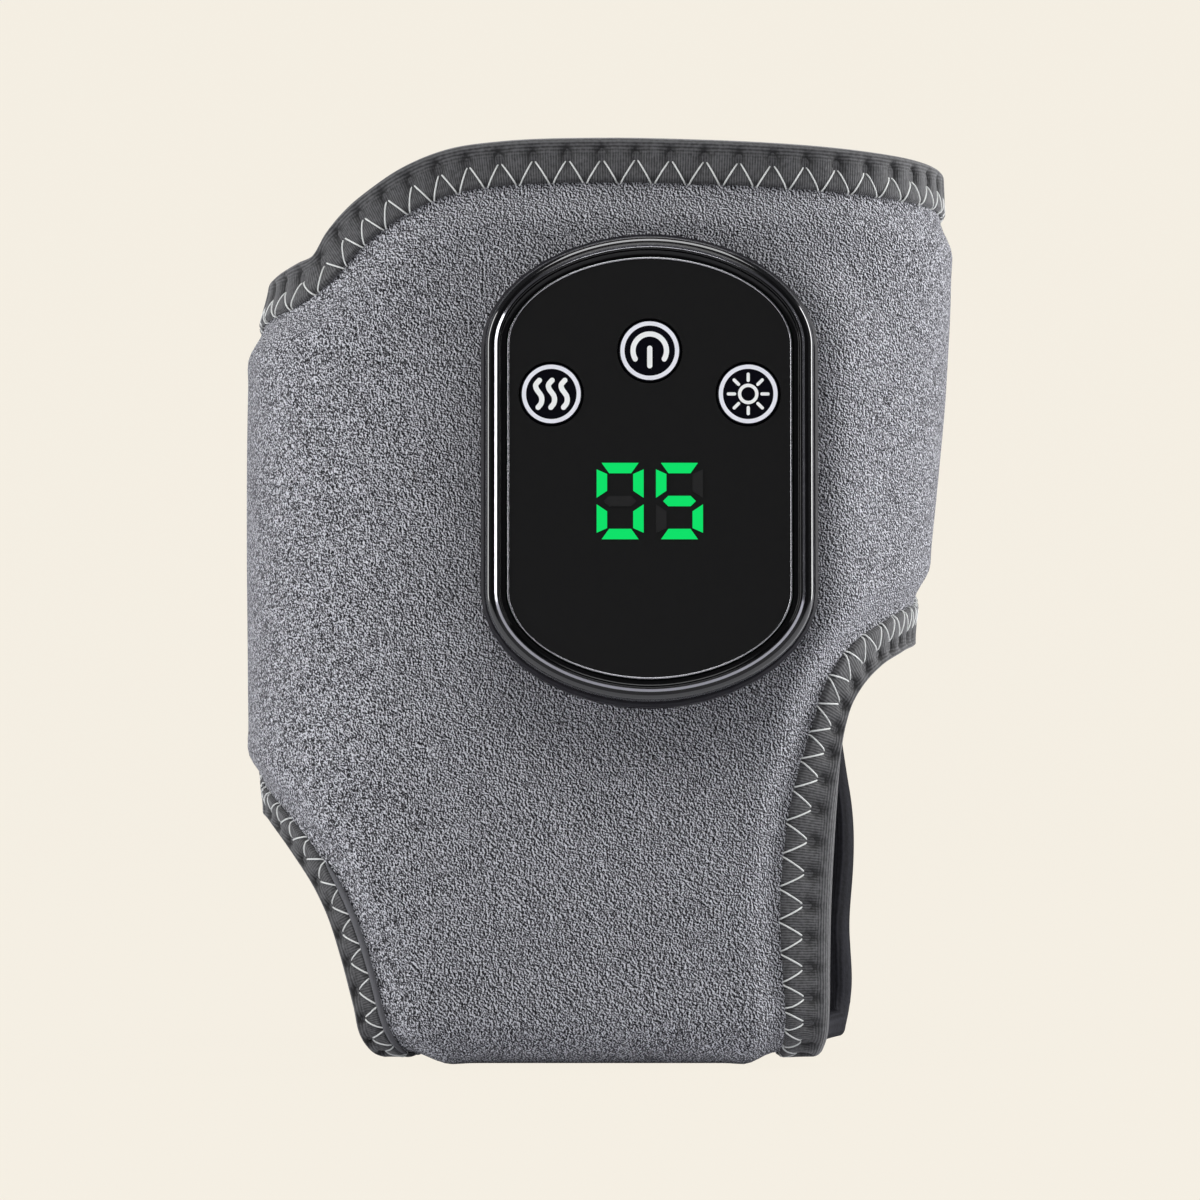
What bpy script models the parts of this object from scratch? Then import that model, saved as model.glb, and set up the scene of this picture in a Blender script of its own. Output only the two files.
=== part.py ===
"""Heated ankle and foot wrap: a fleece and foam wrap closed round a leg, with a control pod on its near face.

Run it with: blender --background --python part.py

Metres, +Z up the leg, the near face and its pod towards -Y, the toes towards +X. The origin is the middle of
the sole. The fabric is cut flat and then wrapped: a place on it is (p, q), where p runs round the leg from
the middle of the near face and q runs up the leg. Below the sole bend q runs on under the foot and up the far
side. form_point carries (p, q) to the outer face of the wrap, and every layer is an offset from that face.
"""

import math

import bmesh
import bpy
from mathutils import Matrix, Vector
from mathutils.geometry import delaunay_2d_cdt

# Size of the closed wrap
WRAP_WIDTH = 0.1400  # across the front and back folds
COLLAR_HEIGHT = 0.1789  # floor to the highest point of the collar's cut edge
SOLE_DEPTH = 0.0870  # near face to far face at the foot
COLLAR_DEPTH = 0.0730  # near face to far face at the collar
FACE_WIDTH = 0.0440  # flat middle of the near and far faces
SOLE_BEND = 0.0110  # outer radius where the wrap turns under the foot
STRAP_HINGE_HEIGHT = 0.0200  # where the foot strap starts, on the far side
CORNER_POWER = 2.5  # fullness of the rounded folds: 2 is an ellipse

# Half width of each fold, as (share of collar height, share of half the wrap's width)
FRONT_FOLD_SHARES = (
    (0.00, 0.915), (0.43, 0.918), (0.49, 0.930), (0.54, 0.949), (0.63, 0.967),
    (0.72, 0.984), (0.82, 0.998), (0.89, 1.002), (0.96, 0.997), (1.05, 0.984),
)
BACK_FOLD_SHARES = ((0.00, 0.985), (0.34, 1.001), (0.75, 1.001), (0.86, 0.995), (1.05, 0.985))

# Fabric and what lies between its layers
COVER_THICKNESS = 0.0025  # fleece bonded to foam
LINING_THICKNESS = 0.0015
FILM_THICKNESS = 0.0005
BACKING_THICKNESS = 0.0016
COVER_EDGE_THICKNESS = 0.0014  # where the stitching squeezes the foam
LINING_EDGE_THICKNESS = 0.0013
LAYER_GAP = 0.0003  # between pieces that lie on each other
FILM_SLACK = 0.0006  # between the heating film and the lining
TAPE_WIDTH = 0.0084  # binding tape, from the edge inwards
TAPE_THICKNESS = 0.0009
TAPE_GAP = 0.0004  # between the tape and the cloth inside its fold
TAPE_SHOULDER_SHARE = 0.8  # roundness of the fold over the edge
TAPE_SETBACK = 0.0026  # tape stops this short of a joint, so that the joint can fold
SQUEEZE_FADE = 0.0125  # the wall reaches its full thickness this far past the tape
POD_SQUEEZE_SHARE = 0.12  # of that distance, where the wall lies behind the pod
JOINT_GAP = 0.0006  # between the wrap and a panel that opens

# Flap and strap: single walls that lie over the far side of the wrap
PANEL_COVER_THICKNESS = 0.0022
PANEL_FADE = 0.0070
PANEL_CLEARANCE = 0.0016  # from the wrap's far face to the lining of a closed panel
HOOK_THICKNESS = 0.0010
FLAP_RAMP = 0.0350  # the flap climbs onto the far side over this length
STRAP_RAMP = 0.0310

# Mesh fineness
TAPE_STEP = 0.0075
CLOTH_STEP = 0.0116
NORMAL_STEP_SHARE = 0.002  # of the wrap's width
INNER_MARGIN_SHARE = 0.45  # of the cloth step, between the tape line and the grid
CURVE_STEPS = 16
CORNER_STEPS = 160

# Control pod, in its own frame: x across, y up the near face, z out of it, origin on the near face
POD_X = 0.0095
POD_MARGIN = 0.0188  # from the collar's cut edge down to the pod
LEAN_MARGIN = 0.0089  # the leg starts to narrow this far below the pod
LENS_HALF_WIDTH = 0.0273
LENS_STRAIGHT = 0.0472  # length of the lens's straight sides
LENS_CAP_RISE = 0.0169  # of the arch at each end
OUTLINE_POWER = 1.93
OUTLINE_POINTS_PER_CAP = 18
FRAME_RIM = 0.0041  # frame outside the lens
BASE_RIM = 0.0051  # base outside the lens
POD_PATCH_MARGIN = 0.0012  # the near face stays flat this far past the base
POD_PATCH_FADE = 0.0130
BASE_HEIGHT = 0.0090
BASE_FLOOR = 0.0016
BASE_WALL = 0.0018
BASE_CHAMFER = 0.0012
CASE_HEIGHT = 0.0152  # top of the frame's crest above the near face
CASE_WALL = 0.0016
CASE_LEDGE = 0.0130  # where the lens lies
CASE_PLATE = 0.0012  # wall under the lens
CREST_WIDTH = 0.0018
FRAME_SHOULDER = 0.0030
LENS_THICKNESS = 0.0014
TRIM_WIDTH = 0.0005
TRIM_PROUD = 0.0001
BUTTON_DIAMETER = 0.0119
BUTTON_FLANGE = 0.0010  # past the button's side
BUTTON_FLANGE_THICKNESS = 0.0007
BUTTON_TRAVEL = 0.0005
BUTTON_PROUD = 0.0001
BUTTON_EDGE = 0.0003
STEM_DIAMETER = 0.0030
STEM_CLEARANCE = 0.0006  # stem to switch at rest, more than the travel
POWER_BUTTON_Y = 0.0224
SIDE_BUTTON_X = 0.0188
SIDE_BUTTON_Y = 0.0141
BOARD_THICKNESS = 0.0012
BOARD_RIM = 0.0012  # board outside the lens outline
BOARD_HEIGHT = 0.0060  # underside of the board
SWITCH_WIDTH = 0.0060
SWITCH_HEIGHT = 0.0014
PLUNGER_DIAMETER = 0.0026
PLUNGER_HEIGHT = 0.0005
DISPLAY_WIDTH = 0.0260
DISPLAY_HEIGHT = 0.0190
DISPLAY_Y = -0.0064
BATTERY_WIDTH = 0.0340
BATTERY_LENGTH = 0.0460
BATTERY_Y = 0.0020
BATTERY_FOLD = 0.0010
BOSS_X = 0.0215
BOSS_Y = 0.0265
BOSS_DIAMETER = 0.0056
SCREW_DIAMETER = 0.0022
SCREW_HEAD_DIAMETER = 0.0042
SCREW_SEAT = 0.0004  # plate left under a screw's head
SCREW_DEPTH = 0.0044  # into the base
SOCKET_WIDTH = 0.0090
SOCKET_HEIGHT = 0.0032
SOCKET_DEPTH = 0.0072
SOCKET_WALL = 0.0003
SOCKET_TONGUE = 0.0007
SOCKET_INSET = 0.0006  # mouth behind the base's outer wall
LEAD_DIAMETER = 0.0020
LEAD_Y = -0.0290
GROMMET_FLANGE = 0.0012
GROMMET_FLANGE_THICKNESS = 0.0010
GROMMET_WALL = 0.0009
BACKING_INSET = 0.0010  # backing plate inside the lens outline
CUT_OVERRUN = 0.0020
ROUND_SIDES = 28
SMALL_ROUND_SIDES = 14

# Inside the wall
FILM_PAST_SCREWS = 0.0035  # near film above the pod's upper screws
SENSOR_LENGTH = 0.0070
SENSOR_WIDTH = 0.0032
SENSOR_THICKNESS = 0.0011
RIBBON_WIDTH = 0.0050
PATCH_CORNER = 0.0060

HALF_WIDTH = WRAP_WIDTH / 2
HALF_FACE = FACE_WIDTH / 2
HALF_SOLE = SOLE_DEPTH / 2
CAVITY = BACKING_THICKNESS + FILM_THICKNESS + 2 * LAYER_GAP + FILM_SLACK
WALL = COVER_THICKNESS + CAVITY + LINING_THICKNESS
EDGE_WALL = COVER_EDGE_THICKNESS + LAYER_GAP + LINING_EDGE_THICKNESS
EDGE_SINK = (WALL - EDGE_WALL) / 2
POD_HALF_LENGTH = LENS_STRAIGHT / 2 + LENS_CAP_RISE + BASE_RIM
POD_HEIGHT = COLLAR_HEIGHT - POD_MARGIN - POD_HALF_LENGTH
LEAN_START = POD_HEIGHT - POD_HALF_LENGTH - LEAN_MARGIN
LEAN_SLOPE = (SOLE_DEPTH - COLLAR_DEPTH) / 2 / (COLLAR_HEIGHT - LEAN_START)
BEND_ARC = SOLE_BEND * math.pi / 2
SOLE_FLAT = 2 * (HALF_SOLE - SOLE_BEND)
SOLE_PATH = 2 * BEND_ARC + SOLE_FLAT + STRAP_HINGE_HEIGHT - SOLE_BEND
TONGUE_END = SOLE_BEND - SOLE_PATH
BACKING_OUTER = COVER_THICKNESS + LAYER_GAP
FILM_OUTER = BACKING_OUTER + BACKING_THICKNESS + LAYER_GAP

# Cut edges of the wrap. A pair is (share of half the width, share of the collar height), the sign of the
# first being the side it lies on; a sole pair's second share is of the way under the sole to the strap.
COLLAR_FAR_SHARES = ((-0.20, 0.930), (0.10, 0.942), (0.45, 0.952), (0.80, 0.961))
FRONT_FOLD_COLLAR_SHARE = 0.970
COLLAR_NEAR_SHARES = (
    (0.85, 0.984), (0.56, 0.993), (0.28, 0.998), (0.00, 1.000), (-0.28, 0.996), (-0.42, 0.988),
    (-0.56, 0.967), (-0.635, 0.949), (-0.705, 0.929), (-0.772, 0.902), (-0.815, 0.877), (-0.865, 0.866),
    (-0.93, 0.851),
)
BACK_FOLD_COLLAR_SHARE = 0.837
COLLAR_PAST_FOLD_SHARES = ((0.18, 0.830),)
FLAP_TOP_SHARE = 0.829
FLAP_FOOT_SHARE = 0.542
FLAP_HINGE_SHARE = 0.360  # of a fold's half length, past the back fold
HEEL_PAST_FOLD_SHARES = ((0.285, 0.534), (0.225, 0.490), (0.185, 0.425), (0.120, 0.348))
BACK_FOLD_HEEL_SHARE = 0.300
HEEL_NEAR_SHARES = (
    (-0.944, 0.272), (-0.906, 0.252), (-0.857, 0.229), (-0.810, 0.201), (-0.769, 0.168),
    (-0.724, 0.120), (-0.698, 0.085),
)
HEEL_SOLE_SHARES = (
    (-0.680, 0.000), (-0.652, 0.048), (-0.610, 0.095), (-0.565, 0.160), (-0.530, 0.450),
    (-0.535, 0.750), (-0.550, 0.917), (-0.560, 1.000),
)
FOOT_SOLE_SHARES = (
    (0.735, 1.000), (0.730, 0.917), (0.700, 0.790), (0.655, 0.640), (0.605, 0.430), (0.590, 0.160),
    (0.604, 0.100), (0.616, 0.060), (0.622, 0.000),
)
FOOT_NEAR_SHARES = (
    (0.622, 0.107), (0.624, 0.165), (0.632, 0.223), (0.645, 0.278), (0.667, 0.332), (0.686, 0.368),
    (0.708, 0.393), (0.745, 0.415), (0.800, 0.435), (0.865, 0.449),
)
FRONT_FOLD_FOOT_SHARE = 0.460
FOOT_PAST_FOLD_SHARES = ((0.13, 0.472), (0.25, 0.463))
FOOT_FAR_SHARES = ((0.820, 0.435), (0.755, 0.394), (0.700, 0.355), (0.625, 0.327), (0.520, 0.317))
WING_SHARES = (
    (0.300, 0.314), (0.000, 0.316), (-0.240, 0.324), (-0.375, 0.351), (-0.460, 0.404), (-0.486, 0.479),
    (-0.490, 0.650), (-0.486, 0.791), (-0.455, 0.862), (-0.375, 0.904),
)
# Flap outline past its hinge, as (share of the flap's reach, share of its half height from its middle)
FLAP_REACH = 0.0730
FLAP_OUTLINE_SHARES = (
    (0.30, 1.000), (0.52, 0.995), (0.70, 0.960), (0.86, 0.780), (0.965, 0.430), (1.000, 0.000),
    (0.965, -0.430), (0.86, -0.780), (0.70, -0.960), (0.52, -0.995), (0.30, -1.000),
)
STRAP_TOP_SHARE = 0.500
STRAP_BACK_SHARES = ((-0.570, 0.160), (-0.582, 0.280), (-0.572, 0.390), (-0.525, 0.464), (-0.430, 0.496))
STRAP_FRONT_SHARES = ((0.500, 0.496), (0.602, 0.464), (0.655, 0.385), (0.698, 0.285), (0.722, 0.175))

# Patches inside the wall and on the panels, as (low, high) shares of the half width and the collar height
NEAR_FILM_SHARES = (-0.56, 0.25)
NEAR_FILM_FOOT_SHARE = 0.32
FAR_FILM_SHARES = ((-0.10, 0.62), (0.49, 0.79))
RIBBON_HEIGHT_SHARE = 0.71
STRAP_HOOK_SHARES = ((-0.38, 0.48), (0.360, 0.435))
FLAP_HOOK_SHARES = (0.54, 0.83)  # of the flap's reach
FLAP_HOOK_HEIGHT_SHARE = 0.40  # of the flap's height
SENSOR_X_SHARE = -0.30
SENSOR_HEIGHT_SHARE = 0.35

FLEECE_GREY = (0.21, 0.21, 0.23, 1.0)
LINING_GREY = (0.035, 0.034, 0.040, 1.0)
TAPE_GREY = (0.09, 0.09, 0.095, 1.0)
GLOSS_BLACK = (0.008, 0.008, 0.009, 1.0)
SHELL_GREY = (0.035, 0.035, 0.039, 1.0)
SILVER = (0.75, 0.75, 0.76, 1.0)
BOARD_GREEN = (0.02, 0.12, 0.05, 1.0)
CELL_SILVER = (0.45, 0.46, 0.48, 1.0)
FILM_AMBER = (0.42, 0.20, 0.05, 1.0)
WHITE_PLASTIC = (0.80, 0.80, 0.78, 1.0)


def clear_scene():
    for obj in list(bpy.data.objects):
        bpy.data.objects.remove(obj, do_unlink=True)


def material(name, colour, roughness, metallic=0.0):
    made = bpy.data.materials.get(name)
    if made:
        return made
    made = bpy.data.materials.new(name)
    made.use_nodes = True
    shader = made.node_tree.nodes["Principled BSDF"]
    shader.inputs["Base Color"].default_value = colour
    shader.inputs["Roughness"].default_value = roughness
    shader.inputs["Metallic"].default_value = metallic
    made.diffuse_color = colour
    return made


def new_object(name, mesh, finish, parent=None, smooth=True):
    """An object for a mesh, with its material; round faces are shaded smooth."""
    if smooth:
        mesh.shade_smooth()
        mesh.set_sharp_from_angle(angle=math.radians(35))
    obj = bpy.data.objects.new(name, mesh)
    bpy.context.scene.collection.objects.link(obj)
    obj.data.materials.append(finish)
    obj.parent = parent
    return obj


def mesh_from(name, points, faces):
    """A closed mesh with its faces turned outwards."""
    made = bmesh.new()
    corners = [made.verts.new(point) for point in points]
    for face in faces:
        made.faces.new([corners[i] for i in face])
    bmesh.ops.recalc_face_normals(made, faces=made.faces)
    mesh = bpy.data.meshes.new(name)
    made.to_mesh(mesh)
    made.free()
    return mesh


def smoothstep(value):
    value = min(1.0, max(0.0, value))
    return value * value * (3 - 2 * value)


def mix(low, high, share):
    return low + (high - low) * share


# The wrapped form


def corner_table():
    """A rounded fold's quarter, from the face to the fold: unit points and the length along them."""
    reach = HALF_WIDTH - HALF_FACE
    rows = []
    length = 0.0
    for step in range(CORNER_STEPS + 1):
        turn = math.pi / 2 * step / CORNER_STEPS
        out = math.sin(turn) ** (2 / CORNER_POWER)
        deep = math.cos(turn) ** (2 / CORNER_POWER) if step < CORNER_STEPS else 0.0
        if rows:
            length += math.hypot((out - rows[-1][1]) * reach, (deep - rows[-1][2]) * HALF_SOLE)
        rows.append((length, out, deep))
    return rows


CORNER_ROWS = corner_table()
CORNER_LENGTH = CORNER_ROWS[-1][0]
FOLD = HALF_FACE + CORNER_LENGTH  # perimeter coordinate of the front fold
ROUND = 2 * FOLD  # perimeter coordinate of the far face's middle


def look_up(rows, key, value, column):
    """Reads one column of a table at a value of another column that grows along it."""
    low, high = 0, len(rows) - 1
    while high - low > 1:
        middle = (low + high) // 2
        if rows[middle][key] <= value:
            low = middle
        else:
            high = middle
    span = rows[high][key] - rows[low][key]
    share = min(1.0, max(0.0, (value - rows[low][key]) / span))
    return mix(rows[low][column], rows[high][column], share)


def fold_half_width(height, side):
    """Distance of a fold from the middle plane, eased between the measured shares."""
    shares = FRONT_FOLD_SHARES if side > 0 else BACK_FOLD_SHARES
    at = height / COLLAR_HEIGHT
    for (low, start), (high, end) in zip(shares, shares[1:]):
        if at <= high or high == shares[-1][0]:
            return mix(start, end, min(1.0, max(0.0, (at - low) / (high - low)))) * HALF_WIDTH


def half_depth(height):
    return HALF_SOLE - LEAN_SLOPE * max(0.0, height - LEAN_START)


def pod_patch(x, height):
    """1 where the pod holds the near face flat, 0 well away from it."""
    across = abs(x - POD_X) / (LENS_HALF_WIDTH + BASE_RIM + POD_PATCH_MARGIN)
    past = max(0.0, abs(height - POD_HEIGHT) - LENS_STRAIGHT / 2)
    along = past / (LENS_CAP_RISE + BASE_RIM + POD_PATCH_MARGIN)
    reach = (across**OUTLINE_POWER + along**OUTLINE_POWER) ** (1 / OUTLINE_POWER)
    distance = (reach - 1) * (LENS_HALF_WIDTH + BASE_RIM)
    return 1 - smoothstep(distance / POD_PATCH_FADE)


def section(p):
    """(side, flat length, share out along the fold, share of the depth, whether far) at a perimeter place."""
    p = (p + ROUND) % (2 * ROUND) - ROUND
    side = 1 if p >= 0 else -1
    along = abs(p)
    far = along > FOLD
    if far:
        along = ROUND - along
    if along <= HALF_FACE:
        return side, along, 0.0, 1.0, far
    run = along - HALF_FACE
    return side, HALF_FACE, look_up(CORNER_ROWS, 0, run, 1), look_up(CORNER_ROWS, 0, run, 2), far


def form_point(p, q):
    """The outer face of the wrap at a flat-pattern place."""
    side, flat, out, deep, far = section(p)
    height = max(q, SOLE_BEND)
    x = side * (flat + (fold_half_width(height, side) - HALF_FACE) * out)
    if far:
        return Vector((x, half_depth(height) * deep, height))
    if q >= SOLE_BEND:
        patch = pod_patch(x, height)
        return Vector((x, -half_depth(height) * mix(deep, 1.0, patch), height))
    reach = HALF_SOLE * deep
    run = SOLE_BEND - q
    if run <= BEND_ARC:
        turn = run / SOLE_BEND
        return Vector((x, -reach + SOLE_BEND * (1 - math.cos(turn)), SOLE_BEND * (1 - math.sin(turn))))
    run -= BEND_ARC
    if run <= SOLE_FLAT:
        return Vector((x, (reach - SOLE_BEND) * (2 * run / SOLE_FLAT - 1), 0.0))
    run -= SOLE_FLAT
    if run <= BEND_ARC:
        turn = run / SOLE_BEND
        return Vector((x, reach - SOLE_BEND + SOLE_BEND * math.sin(turn), SOLE_BEND * (1 - math.cos(turn))))
    return Vector((x, reach, SOLE_BEND + run - BEND_ARC))


def form_normal(p, q):
    """The wrap's outward direction at a flat-pattern place."""
    step = NORMAL_STEP_SHARE * WRAP_WIDTH
    across = form_point(p + step, q) - form_point(p - step, q)
    upward = form_point(p, q + step) - form_point(p, q - step)
    return across.cross(upward).normalized()


def lifted(place, offset):
    return form_point(*place) + form_normal(*place) * offset


# Places on the flat pattern


def near(shares):
    """(p, q) of a place on the near face, from its shares of the half width and the collar height."""
    x = shares[0] * HALF_WIDTH
    height = shares[1] * COLLAR_HEIGHT
    side = 1 if x >= 0 else -1
    out = abs(x)
    if out <= HALF_FACE:
        return (side * out, height)
    reach = fold_half_width(height, side) - HALF_FACE
    return (side * (HALF_FACE + look_up(CORNER_ROWS, 1, (out - HALF_FACE) / reach, 0)), height)


def far(shares):
    """(p, q) of a place on the far face, counted on past the front fold."""
    p, q = near(shares)
    return (ROUND - p, q)


def under(shares):
    """(p, q) of a place under the sole, from its share of the half width and of the way to the strap."""
    out = shares[0] * HALF_WIDTH
    p, _ = near((shares[0], SOLE_BEND / COLLAR_HEIGHT)) if abs(out) > HALF_FACE else (out, 0.0)
    return (p, SOLE_BEND - shares[1] * SOLE_PATH)


def past_fold(side, shares):
    """(p, q) just round a fold, from its share of a fold's half length and of the collar height."""
    return (side * (FOLD + shares[0] * CORNER_LENGTH), shares[1] * COLLAR_HEIGHT)


def smooth_curve(points, step):
    """Evenly spaced points of a smooth curve through these points, both ends kept."""
    points = [Vector(point) for point in points]
    spans = [(b - a).length for a, b in zip(points, points[1:])]
    slopes = []
    for i in range(len(points)):
        before = (points[i] - points[i - 1]) / spans[i - 1] if i else None
        after = (points[i + 1] - points[i]) / spans[i] if i < len(spans) else None
        if before is None or after is None:
            slopes.append(after if before is None else before)
        else:
            slopes.append((before * spans[i] + after * spans[i - 1]) / (spans[i] + spans[i - 1]))
    fine = [points[0]]
    for i, span in enumerate(spans):
        for k in range(1, CURVE_STEPS + 1):
            t = k / CURVE_STEPS
            fine.append(
                points[i] * (2 * t**3 - 3 * t**2 + 1)
                + points[i + 1] * (3 * t**2 - 2 * t**3)
                + slopes[i] * span * (t**3 - 2 * t**2 + t)
                + slopes[i + 1] * span * (t**3 - t**2)
            )
    return even_points(fine, step)


def even_points(line, step):
    lengths = [0.0]
    for a, b in zip(line, line[1:]):
        lengths.append(lengths[-1] + (b - a).length)
    count = max(1, round(lengths[-1] / step))
    even, i = [line[0]], 1
    for k in range(1, count):
        goal = lengths[-1] * k / count
        while lengths[i] < goal:
            i += 1
        share = (goal - lengths[i - 1]) / (lengths[i] - lengths[i - 1])
        even.append(line[i - 1].lerp(line[i], share))
    return even + [line[-1]]


def set_back(points, start, end):
    """The points with one more where the tape stops, a little way from each end that meets a joint."""
    if start:
        points.insert(1, points[0] + (points[1] - points[0]).normalized() * TAPE_SETBACK)
    if end:
        points.insert(-1, points[-1] + (points[-2] - points[-1]).normalized() * TAPE_SETBACK)
    return points


def joint_points(start, end):
    """Points of a straight edge without tape, one of them a tape's width from each end."""
    start, end = Vector(start), Vector(end)
    along = (end - start).normalized()
    inner = even_points([start + along * TAPE_WIDTH, end - along * TAPE_WIDTH], CLOTH_STEP)
    return [start, *inner, end]


class Pattern:
    """A flat piece of fabric: an outline of named edges, and triangles that fill it.

    Each edge is (name, points, whether tape binds it), and they follow each other anticlockwise. A line of
    points runs a tape's width inside the bound edges, so that the tape and the cloth under it bend alike.
    """

    def __init__(self, edges, step=CLOTH_STEP):
        self.outline = []
        self.spans = {}
        inner_of = {}
        for name, points, _ in edges:
            start = len(self.outline)
            self.outline += points[:-1]
            self.spans[name] = (start, start + len(points) - 1)
        count = len(self.outline)
        for name, points, bound in edges:
            if bound:
                first, last = self.spans[name]
                for i in range(first, last + 1):
                    inner_of[i % count] = self.inner_point(i % count, edges)
        self.inner_of = inner_of
        self.fill(step, count)

    def edge_at(self, i, edges):
        """(whether the edge before corner i is bound, whether the edge after it is)."""
        count = len(self.outline)
        before = after = False
        for name, _, bound in edges:
            first, last = self.spans[name]
            if first <= i < last:
                after = bound
            if first < i <= last or (i == 0 and last == count):
                before = bound
        return before, after

    def inner_point(self, i, edges):
        count = len(self.outline)
        here = self.outline[i]
        before, after = self.outline[i - 1], self.outline[(i + 1) % count]
        bound_before, bound_after = self.edge_at(i, edges)
        if not bound_before:
            return here + (before - here).normalized() * TAPE_WIDTH
        if not bound_after:
            return here + (after - here).normalized() * TAPE_WIDTH
        along = ((here - before).normalized() + (after - here).normalized()).normalized()
        return here + Vector((-along.y, along.x)) * TAPE_WIDTH

    def distance(self, place):
        """How far a place is inside the outline."""
        best = math.inf
        count = len(self.outline)
        for i in range(count):
            a, b = self.outline[i], self.outline[(i + 1) % count]
            run = b - a
            share = min(1.0, max(0.0, (place - a).dot(run) / run.length_squared))
            best = min(best, (place - a - run * share).length_squared)
        return math.sqrt(best)

    def inside(self, place):
        hit = False
        count = len(self.outline)
        for i in range(count):
            a, b = self.outline[i], self.outline[(i + 1) % count]
            if (a.y > place.y) != (b.y > place.y):
                hit ^= place.x < (b.x - a.x) * (place.y - a.y) / (b.y - a.y) + a.x
        return hit

    def fill(self, step, count):
        """Triangles that fill the outline: a strip under the tape, then a grid inside it."""
        self.places = list(self.outline)
        self.triangles = []
        marks = dict.fromkeys(range(count))
        for i in range(count):
            point = self.inner_of.get(i)
            if point is None:
                marks[i] = i
                continue
            beside = [k % count for k in (i - 1, i + 1)]
            same = [k for k in beside if (self.outline[k] - point).length < NORMAL_STEP_SHARE * step]
            marks[i] = same[0] if same else len(self.places)
            if not same:
                self.places.append(point)
        for i in range(count):
            following = (i + 1) % count
            if self.bound_between(i):
                self.triangles.append((i, following, marks[following]))
                if marks[i] != i:
                    self.triangles.append((i, marks[following], marks[i]))
        loop = [marks[i] for i in range(count)]
        loop = [mark for k, mark in enumerate(loop) if mark != loop[k - 1]]
        points = [self.places[mark] for mark in loop]
        margin = (TAPE_WIDTH if self.inner_of else 0.0) + step * INNER_MARGIN_SHARE
        low_p = min(point.x for point in self.outline)
        high_p = max(point.x for point in self.outline)
        low_q = min(point.y for point in self.outline)
        high_q = max(point.y for point in self.outline)
        columns = max(1, round((high_p - low_p) / step))
        rows = max(1, round((high_q - low_q) / step))
        for column in range(1, columns):
            for row in range(1, rows):
                place = Vector((mix(low_p, high_p, column / columns), mix(low_q, high_q, row / rows)))
                if self.inside(place) and self.distance(place) > margin:
                    points.append(place)
        places, _, faces, origins, _, _ = delaunay_2d_cdt(points, [], [list(range(len(loop)))], 1, 0.0)
        index = []
        for place, origin in zip(places, origins):
            if origin and origin[0] < len(loop):
                index.append(loop[origin[0]])
            else:
                index.append(len(self.places))
                self.places.append(Vector(place))
        self.triangles += [tuple(index[corner] for corner in face) for face in faces]
        self.distances = [self.distance(place) for place in self.places]

    def bound_between(self, i):
        """Whether the outline from corner i to the next carries tape."""
        return any(first <= i < last for first, last in self.bound_spans())

    def bound_spans(self):
        return [span for span in self.spans.values() if all(
            k % len(self.outline) in self.inner_of for k in range(span[0], span[1] + 1)
        )]

    def rim(self):
        """The outline's directed edges, as the triangles meet them."""
        directed = set()
        for a, b, c in self.triangles:
            directed.update(((a, b), (b, c), (c, a)))
        return [(a, b) for a, b in directed if (b, a) not in directed]


def layer(name, pattern, outer, inner, finish, parent=None):
    """A closed sheet between two offsets, each a function of a place and its distance from the edge."""
    spots = list(zip(pattern.places, pattern.distances))
    points = [lifted(place, outer(place, distance)) for place, distance in spots]
    points += [lifted(place, inner(place, distance)) for place, distance in spots]
    count = len(spots)
    faces = list(pattern.triangles)
    faces += [(c + count, b + count, a + count) for a, b, c in pattern.triangles]
    faces += [(b, a, a + count, b + count) for a, b in pattern.rim()]
    return new_object(name, mesh_from(name, points, faces), finish, parent)


def tape(name, pattern, edge, outer, inner, finish, parent=None):
    """Binding tape folded over one edge: a U section carried along it, clear of the layers inside it."""
    first, last = pattern.spans[edge]
    count = len(pattern.outline)
    corners = [pattern.outline[i % count] for i in range(first, last + 1)]
    insides = [pattern.inner_of[i % count] for i in range(first, last + 1)]
    for end, other, joined in ((0, 1, first - 1), (-1, -2, last)):
        if pattern.bound_between(joined % count):
            share = TAPE_GAP / 2 / (corners[end] - corners[other]).length
            corners[end] = corners[end].lerp(corners[other], share)
            insides[end] = insides[end].lerp(insides[other], share)
        else:
            corners.pop(end)
            insides.pop(end)
    rings = []
    for corner, inside in zip(corners, insides):
        outward = (corner - inside).normalized()
        turn = TAPE_GAP + TAPE_THICKNESS
        above = [outer(place, 0.0) + TAPE_GAP for place in (corner, inside)]
        below = [inner(place, 0.0) - TAPE_GAP for place in (corner, inside)]
        middle = (above[0] + below[0]) / 2
        shoulder = corner + outward * turn * TAPE_SHOULDER_SHARE
        section_points = (
            (inside, above[1]), (inside, above[1] + TAPE_THICKNESS), (corner, above[0] + TAPE_THICKNESS),
            (shoulder, above[0] + TAPE_THICKNESS / 2), (corner + outward * turn, middle),
            (shoulder, below[0] - TAPE_THICKNESS / 2), (corner, below[0] - TAPE_THICKNESS),
            (inside, below[1] - TAPE_THICKNESS), (inside, below[1]),
            (corner, below[0]), (corner + outward * TAPE_GAP, below[0]),
            (corner + outward * TAPE_GAP, above[0]), (corner, above[0]),
        )
        rings.append([lifted(place, level) for place, level in section_points])
    return new_object(name, tape_mesh(name, rings), finish, parent)


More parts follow.
